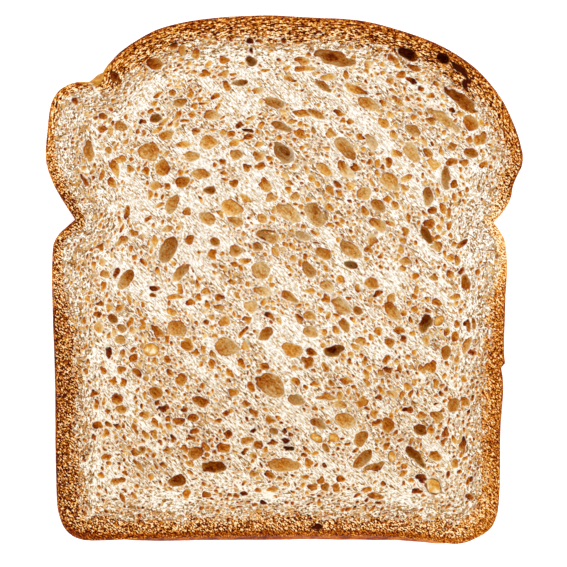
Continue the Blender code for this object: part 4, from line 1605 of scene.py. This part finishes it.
@dataclass(frozen=True)
class CrumbFinish(Finish):
    """White crumb with golden flecks and tan bubbles, browned and speckled towards the crust.

    The bubbles' tan to nearly black is painted shade of their hollows, their rims carry painted highlights
    and shade, and the flecks are painted shade of pores too small to model.

    Its sizes are millimetres. A pair is where an effect starts and where it is whole: for the weave that is
    the distance from the crust, and for the others the place up or across the slice.
    """

    fine: float = 0.46
    mid: float = 1.1
    calm: float = 3.4
    broad: float = 11.0
    speck: float = 0.55
    fleck: float = 1.5
    dot: float = 0.80
    weave: tuple[float, float] = (13.0, 5.0)
    lower: tuple[float, float] = (-10.0, -34.0)
    crown: tuple[float, float] = (25.0, 42.0)
    plain_across: tuple[float, float] = (38.0, 48.0)
    plain_up: tuple[float, float] = (18.0, 8.0)
    heel_strip: tuple[float, float] = (-57.0, -61.0)
    beyond: tuple[float, float, float] = (37.0, 11.0, 0.0)

    def surface(self, skin: Skin) -> tuple[Value, Value]:
        """Return the surface's colour and its height."""
        fine = skin.drawn_grain(self.fine)
        mid = skin.drawn_grain(self.mid)
        calm = skin.grain(self.calm)
        broad = skin.grain(self.broad)
        speck = skin.grain(self.speck)

        edge = skin.mask("edge")
        torn = skin.mask("size").step(0.3, 1.2) * 0.65 + 0.35
        rim = skin.swing(skin.mask("rim"), (fine, torn * 0.18), (mid, torn * 0.24), (speck, torn * 0.16))
        inside = rim.step(-0.10, calm * calm * 0.30 + 0.04)
        ragged = skin.swing(edge, (mid, 0.5), (speck, 0.4), (broad, 0.25))
        band = ragged.step(1.12, 0.82)
        near = ragged.step(1.8, 0.95)

        crumb = self._crumb(skin, (fine, mid, calm, broad), near, rim)
        face = skin.mix(band, crumb, self._crust(skin, edge, mid))
        face = skin.mix(skin.mask("pale") * 0.85, face, paint(252, 247, 236))
        golden = skin.swing(0.5, (mid, 0.5), (fine, 0.3)).ramp({
            0.2: (176, 110, 26), 0.5: (196, 134, 44), 0.9: (214, 164, 84)})
        face = skin.mix(skin.mask("golden"), face, golden)
        # Painted shade: the walls just inside each bubble's rim are tinted tan.
        face = skin.tinted(face, skin.mask("rim").step(-0.05, 0.20) * 0.9, 0.96, 0.84, 0.62)
        # Painted shade: a warm, darker ring just outside the rims of small bubbles.
        ring = skin.mask("rim").step(-0.32, -0.02) * skin.mask("size").step(0.9, 0.45)
        face = skin.tinted(face, ring * 0.7, 0.98, 0.91, 0.77)
        bowl = self._bowl(skin, (fine, mid, calm, speck), band, rim)
        colour = skin.tinted(skin.mix(inside, face, bowl), skin.y.step(*self.lower) * 0.8, 0.96, 0.935, 0.88)
        return colour, skin.swing(0.5, (fine, 0.6), (speck, 0.4))

    def _crumb(self, skin: Skin, grains: tuple[Value, ...], near: Value, rim: Value) -> Value:
        """Return the colour between the bubbles: white strands, and golden flecks where the crumb is open.
        The flecks, dots and strokes are painted shade of pores too small to model.
        """
        fine, mid, calm, broad = grains
        open_part = skin.maths("MAXIMUM", skin.mask("crowd"), near)
        mottle = skin.grain(0.8)
        beyond = skin.vector("ADD", skin.place, self.beyond)
        weave = skin.mask("room").step(*self.weave)
        fine = skin.mix(weave * 0.65, fine, skin.grain(0.48, beyond)).step(0.16, 0.84)
        lively = weave * 0.50 + (open_part * 0.42 + 0.56)
        value = skin.swing(0.5, (fine, lively), (mid, lively * 0.45), (mottle, lively * 0.5), (broad, 0.06))
        crumb = (value - weave * 0.01 - open_part * 0.12 + 0.07).ramp({
            0.00: (134, 80, 26), 0.12: (180, 133, 64), 0.26: (217, 190, 146), 0.40: (235, 222, 201),
            0.54: (243, 236, 225), 0.72: (251, 245, 236), 1.00: (255, 252, 246)})
        # Painted shade: strokes of tiny drawn-out pores.
        strokes = skin.drawn_grain(0.36, 2.0, beyond).step(0.60, 0.80)
        crumb = skin.mix(strokes * (open_part * 0.25 + (weave * 0.26 + 0.42)), crumb, paint(174, 132, 70))
        # Painted shade: dots of tiny pores.
        dots, own = skin.specks(self.dot, weave * 0.45 + 0.30, beyond)
        shade = own.ramp({0.0: (134, 88, 36), 0.5: (176, 134, 76), 1.0: (216, 190, 146)})
        crumb = skin.mix(dots * (weave * 0.36 + 0.25), crumb, shade)
        crumb = skin.tinted(crumb, calm.step(0.45, 0.95) * (open_part * 0.34), 0.92, 0.85, 0.68)
        # Painted highlight: a white lip round each bubble's rim, as if its thin wall caught the light.
        crumb = skin.mix(rim.step(-0.45, -0.06) * 0.45, crumb, paint(255, 251, 241))
        # Painted shade: golden flecks of tiny pores between the bubbles.
        patch = skin.swing(skin.drawn_grain(0.85, place=beyond), (fine, 0.45), (open_part, 0.45))
        mask, own = skin.specks(self.fleck, open_part * 0.30 + 0.50)
        between = rim.step(-0.04, -0.30) * (1.0 - skin.mask("pale"))
        for share, tint in ((patch.step(0.92, 1.12) * 0.85, calm), (mask * 0.9, own)):
            fleck = skin.swing(near * 0.2 + 0.42, (tint, 0.45), (fine, 0.35)).ramp({
                0.05: (236, 210, 156), 0.30: (218, 170, 92), 0.55: (194, 130, 46), 0.80: (154, 82, 18),
                1.00: (106, 46, 10)})
            crumb = skin.mix(share * between, crumb, fleck)
        return skin.tinted(crumb, near * 0.5, 0.99, 0.94, 0.82)

    def _crust(self, skin: Skin, edge: Value, mid: Value) -> Value:
        """Return the colour of the crust's cut edge: golden with dark strokes, drawn out along the crown."""
        crown = skin.y.step(*self.crown)
        speck = skin.grain(0.39)
        stroke = skin.drawn_grain(0.37, 2.0, room=FAR_FROM_CRUST)
        streak = skin.drawn_grain(0.34, 2.9)
        specked = skin.swing(0.5, (speck, 1.00), (stroke, 1.15), (mid, 0.14))
        streaked = skin.swing(0.5, (speck, 0.70), (streak, 1.25), (mid, 0.14))
        grain = specked + crown * (streaked - specked)
        plain = skin.x.step(*self.plain_across) * skin.y.step(*self.plain_up)
        outer = edge.step(0.5, 0.2) * crown
        strip = edge.step(0.27, 0.13) * skin.y.step(*self.heel_strip)
        calmed = skin.maths("MAXIMUM", skin.maths("MAXIMUM", plain * 0.35, outer * 0.30), strip * 0.55)
        grain = skin.swing(outer * 0.07 + 0.5, (grain, 1.0 - calmed))
        brown = skin.swing(skin.mask("brown"), (edge, -0.22)) + strip * 0.09
        return skin.toast(brown, grain)

    @staticmethod
    def _bowl(skin: Skin, grains: tuple[Value, ...], band: Value, rim: Value) -> Value:
        """Return the colour inside the bubbles, from greyish tan to golden and from pale to nearly black:
        painted shade of the hollows, darker towards their middles and inside the rim on their shaded side.
        """
        fine, mid, calm, speck = grains
        # Painted shade: the tone darkens towards each bubble's middle, where the hollow is deepest.
        tone = skin.swing(skin.mask("tone"), (mid, 0.15), (fine, 0.18), (speck, 0.22), (calm, 0.12),
                          (skin.mask("bowl"), 0.20))
        # Painted shade: a darker line just inside the rim on each bubble's shaded side.
        shaded_rim = rim.step(0.50, 0.12) * skin.mask("shade").step(0.0, 0.9)
        tone = tone + shaded_rim * 0.20 + band * 0.16
        tan = tone.ramp({
            0.06: (240, 219, 182), 0.22: (222, 190, 138), 0.38: (204, 160, 94), 0.52: (188, 120, 44),
            0.66: (162, 84, 18), 0.82: (124, 48, 8), 1.00: (74, 22, 6)})
        golden = tone.ramp({
            0.06: (250, 216, 146), 0.22: (238, 188, 94), 0.38: (224, 157, 50), 0.52: (206, 118, 20),
            0.66: (174, 82, 12), 0.82: (128, 46, 10), 1.00: (76, 22, 8)})
        return skin.mix(skin.swing(skin.mask("warm"), (calm, 0.4)), tan, golden)


@dataclass(frozen=True)
class CrustFinish(Finish):
    """The baked outer skin: smooth and mottled on the walls, specked where the knife cut its edges."""

    def surface(self, skin: Skin) -> tuple[Value, Value]:
        """Return the surface's colour and its height."""
        fine = skin.grain(0.34)
        mid = skin.grain(2.2)
        height = skin.mask("height")
        cut = height.step(0.91, 0.985) + height.step(0.09, 0.015)
        grain = skin.swing(0.5, (fine, cut * 0.55 + 0.25), (mid, 0.26), (skin.grain(10.0), 0.20))
        colour = skin.toast(skin.mask("brown") - cut * 0.02 + 0.16, grain)
        golden = skin.swing(0.5, (mid, 0.7), (fine, 0.3)).ramp({
            0.1: (178, 112, 30), 0.5: (202, 142, 46), 0.9: (224, 172, 80)})
        share = skin.mask("golden") * height.step(0.3, 0.95)
        return skin.mix(share, colour, golden), skin.swing(0.5, (fine, 0.5), (mid, 0.5))


@dataclass(frozen=True)
class GrainFinish(Finish):
    """Cut grain: a cream core in a golden rim."""

    def surface(self, skin: Skin) -> tuple[Value, Value]:
        """Return the surface's colour and its height."""
        fine = skin.grain(0.4)
        mid = skin.grain(1.3)
        colour = skin.swing(skin.mask("core"), (mid, 0.7), (fine, 0.3)).ramp({
            0.00: (250, 236, 204), 0.30: (238, 216, 172), 0.42: (216, 192, 150), 0.55: (222, 176, 102),
            0.80: (218, 156, 60), 1.00: (196, 128, 38)})
        return colour, skin.swing(0.5, (mid, 0.6), (fine, 0.4))


# --- The studio ---------------------------------------------------------------------------------------


@dataclass(frozen=True)
class Studio:
    """A pale floor, soft light from all round, one soft lamp, and a camera that looks straight down."""

    photo_size: float = 138.94 * MM
    centre_x: float = -0.2 * MM
    centre_y: float = -0.8 * MM
    camera_height: float = 0.9
    sensor_mm: float = 36.0
    floor_size: float = 3.0
    floor_gap: float = 0.02 * MM
    floor_shade: float = 0.93
    floor_glow: float = 0.55
    sky: float = 1.17
    lamp_strength: float = 0.50
    lamp_angle: float = math.radians(40)
    lamp_tilt: tuple[float, float] = (math.radians(-32), math.radians(24))

    def build(self, top: float) -> None:
        """Set up the floor, the light and the camera.

        Args:
            top: the height of the cut face, where the photo's scale holds.
        """
        self._floor()
        self._light()
        self._camera(top)

    def _floor(self) -> None:
        """Lay a wide white floor under the slice."""
        deselect_all()
        bpy.ops.mesh.primitive_plane_add(size=self.floor_size, location=(0, 0, -self.floor_gap))
        floor = named("floor")
        material = bpy.data.materials.new("floor")
        material.use_nodes = True
        sockets = material.node_tree.nodes["Principled BSDF"].inputs
        for name, value in {"Base Color": (self.floor_shade,) * 3 + (1,), "Roughness": 0.9,
                            "Specular IOR Level": 0.1, "Emission Color": (1, 1, 1, 1),
                            "Emission Strength": self.floor_glow}.items():
            sockets[name].default_value = value
        floor.data.materials.append(material)

    def _light(self) -> None:
        """Light the slice softly from all round, and with a wide sun from the upper right."""
        world = bpy.data.worlds.new("studio")
        world.use_nodes = True
        sky = world.node_tree.nodes["Background"].inputs
        sky["Color"].default_value = (1, 1, 1, 1)
        sky["Strength"].default_value = self.sky
        bpy.context.scene.world = world
        sun = bpy.data.lights.new("lamp", "SUN")
        sun.energy = self.lamp_strength
        sun.angle = self.lamp_angle
        lamp = bpy.data.objects.new("lamp", sun)
        lamp.rotation_euler = (*self.lamp_tilt, 0)
        bpy.context.scene.collection.objects.link(lamp)

    def _camera(self, top: float) -> None:
        """Look straight down on the cut face, at the photo's scale."""
        lens = bpy.data.cameras.new("camera")
        lens.sensor_width = self.sensor_mm
        lens.lens = self.sensor_mm * (self.camera_height - top) / self.photo_size
        lens.clip_end = 10
        camera = bpy.data.objects.new("camera", lens)
        camera.location = (self.centre_x, self.centre_y, self.camera_height)
        scene = bpy.context.scene
        scene.collection.objects.link(camera)
        scene.camera = camera
        scene.view_settings.view_transform = "Standard"


# --- The slice ----------------------------------------------------------------------------------------


FRONT_STEP = 0.27 * MM
BACK_STEP = 0.46 * MM
KERNEL_SOCKET_GROWTH = 1.05
KERNEL_SOCKET_DEPTH = 1.0 * MM
# The painted shade in the hollow that each kernel sits in.
KERNEL_SOCKET_SHADE = 0.35


def hand_over(piece: Piece, material: bpy.types.Material, slot: str) -> None:
    """Dress a piece, hang it from the body it rides on, hide the solid it stands for, and log its slot.

    Args:
        piece: the finished piece.
        material: its finish.
        slot: the record's material slot, which is logged.
    """
    piece.data.materials.clear()
    piece.data.materials.append(material)
    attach(piece, BODY)
    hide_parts(NODE)
    LOG.info("%s: %d vertices, %d faces, slot %s", piece.name, len(piece.data.vertices),
             len(piece.data.polygons), slot)


def socket_of(kernel: Bubble) -> Bubble:
    """Return the bubble that a kernel sits in."""
    return replace(kernel, half_length=kernel.half_length * KERNEL_SOCKET_GROWTH,
                   half_width=kernel.half_width * KERNEL_SOCKET_GROWTH, depth=KERNEL_SOCKET_DEPTH,
                   tone=KERNEL_SOCKET_SHADE)


def crumb_face(side: Side, reading: SolidReading, crust: Crust) -> list[Piece]:
    """Build one cut face, the front one in two halves for its finer detail.

    Args:
        side: which face.
        reading: what the solid says.
        crust: the crust, whose edge the face meets.

    Returns:
        The pieces.
    """
    front = side is Side.FRONT
    crumb = Crumb(side, crust.loop(side), level=reading.top if front else 0.0,
                  step=FRONT_STEP if front else BACK_STEP, seed=21 if front else 34)
    given = list(reading.bubbles[side])
    if front:
        given = [with_looks(bubble) for bubble in given]
        given += medium_bubbles() + [socket_of(kernel) for kernel in reading.kernels]
    for bubble in crumb.scatter(FRONT_RULES if front else BACK_RULES, given):
        crumb.carve(bubble)
    for strand in STRANDS if front else ():
        crumb.cross(strand)
    for pit in SHADED_PITS if front else ():
        crumb.paint_pit_shade(pit)
    if front:
        crumb.smooth_over(PALE_SPOTS, GOLDEN_SPOT)
    crumb.settle()
    if not front:
        return [crumb.build("crumb_back")]
    middle = crumb.columns // 2
    return [crumb.build("crumb_front_left", last=middle), crumb.build("crumb_front_right", first=middle)]


def main() -> None:
    """Build the slice's pieces in order, dress them and set up the studio."""
    logging.basicConfig(level=logging.INFO, format="%(name)s: %(message)s")
    reading = SolidReading.read(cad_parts[NODE])
    LOG.info("%d rings, %d front and %d back bubbles, %d kernels", len(reading.rings),
             len(reading.bubbles[Side.FRONT]), len(reading.bubbles[Side.BACK]), len(reading.kernels))
    effects = Effects()
    crumb_finish = CrumbFinish("crumb", roughness=0.92, bump=0.16 * MM, shine=0.03).material(effects)
    crust = Crust(reading.rings)
    hand_over(crust.build("crust_wall"),
              CrustFinish("crust", roughness=0.75, bump=0.12 * MM).material(effects), "crust")
    for side in Side:
        for piece in crumb_face(side, reading, crust):
            hand_over(piece, crumb_finish, "crumb")
    hand_over(Grain(reading.kernels, reading.top).build("grain_kernels"),
              GrainFinish("grain", roughness=0.8, bump=0.1 * MM, shine=0.08).material(effects), "grain")
    Studio().build(reading.top)


if __name__ == "__main__":
    main()
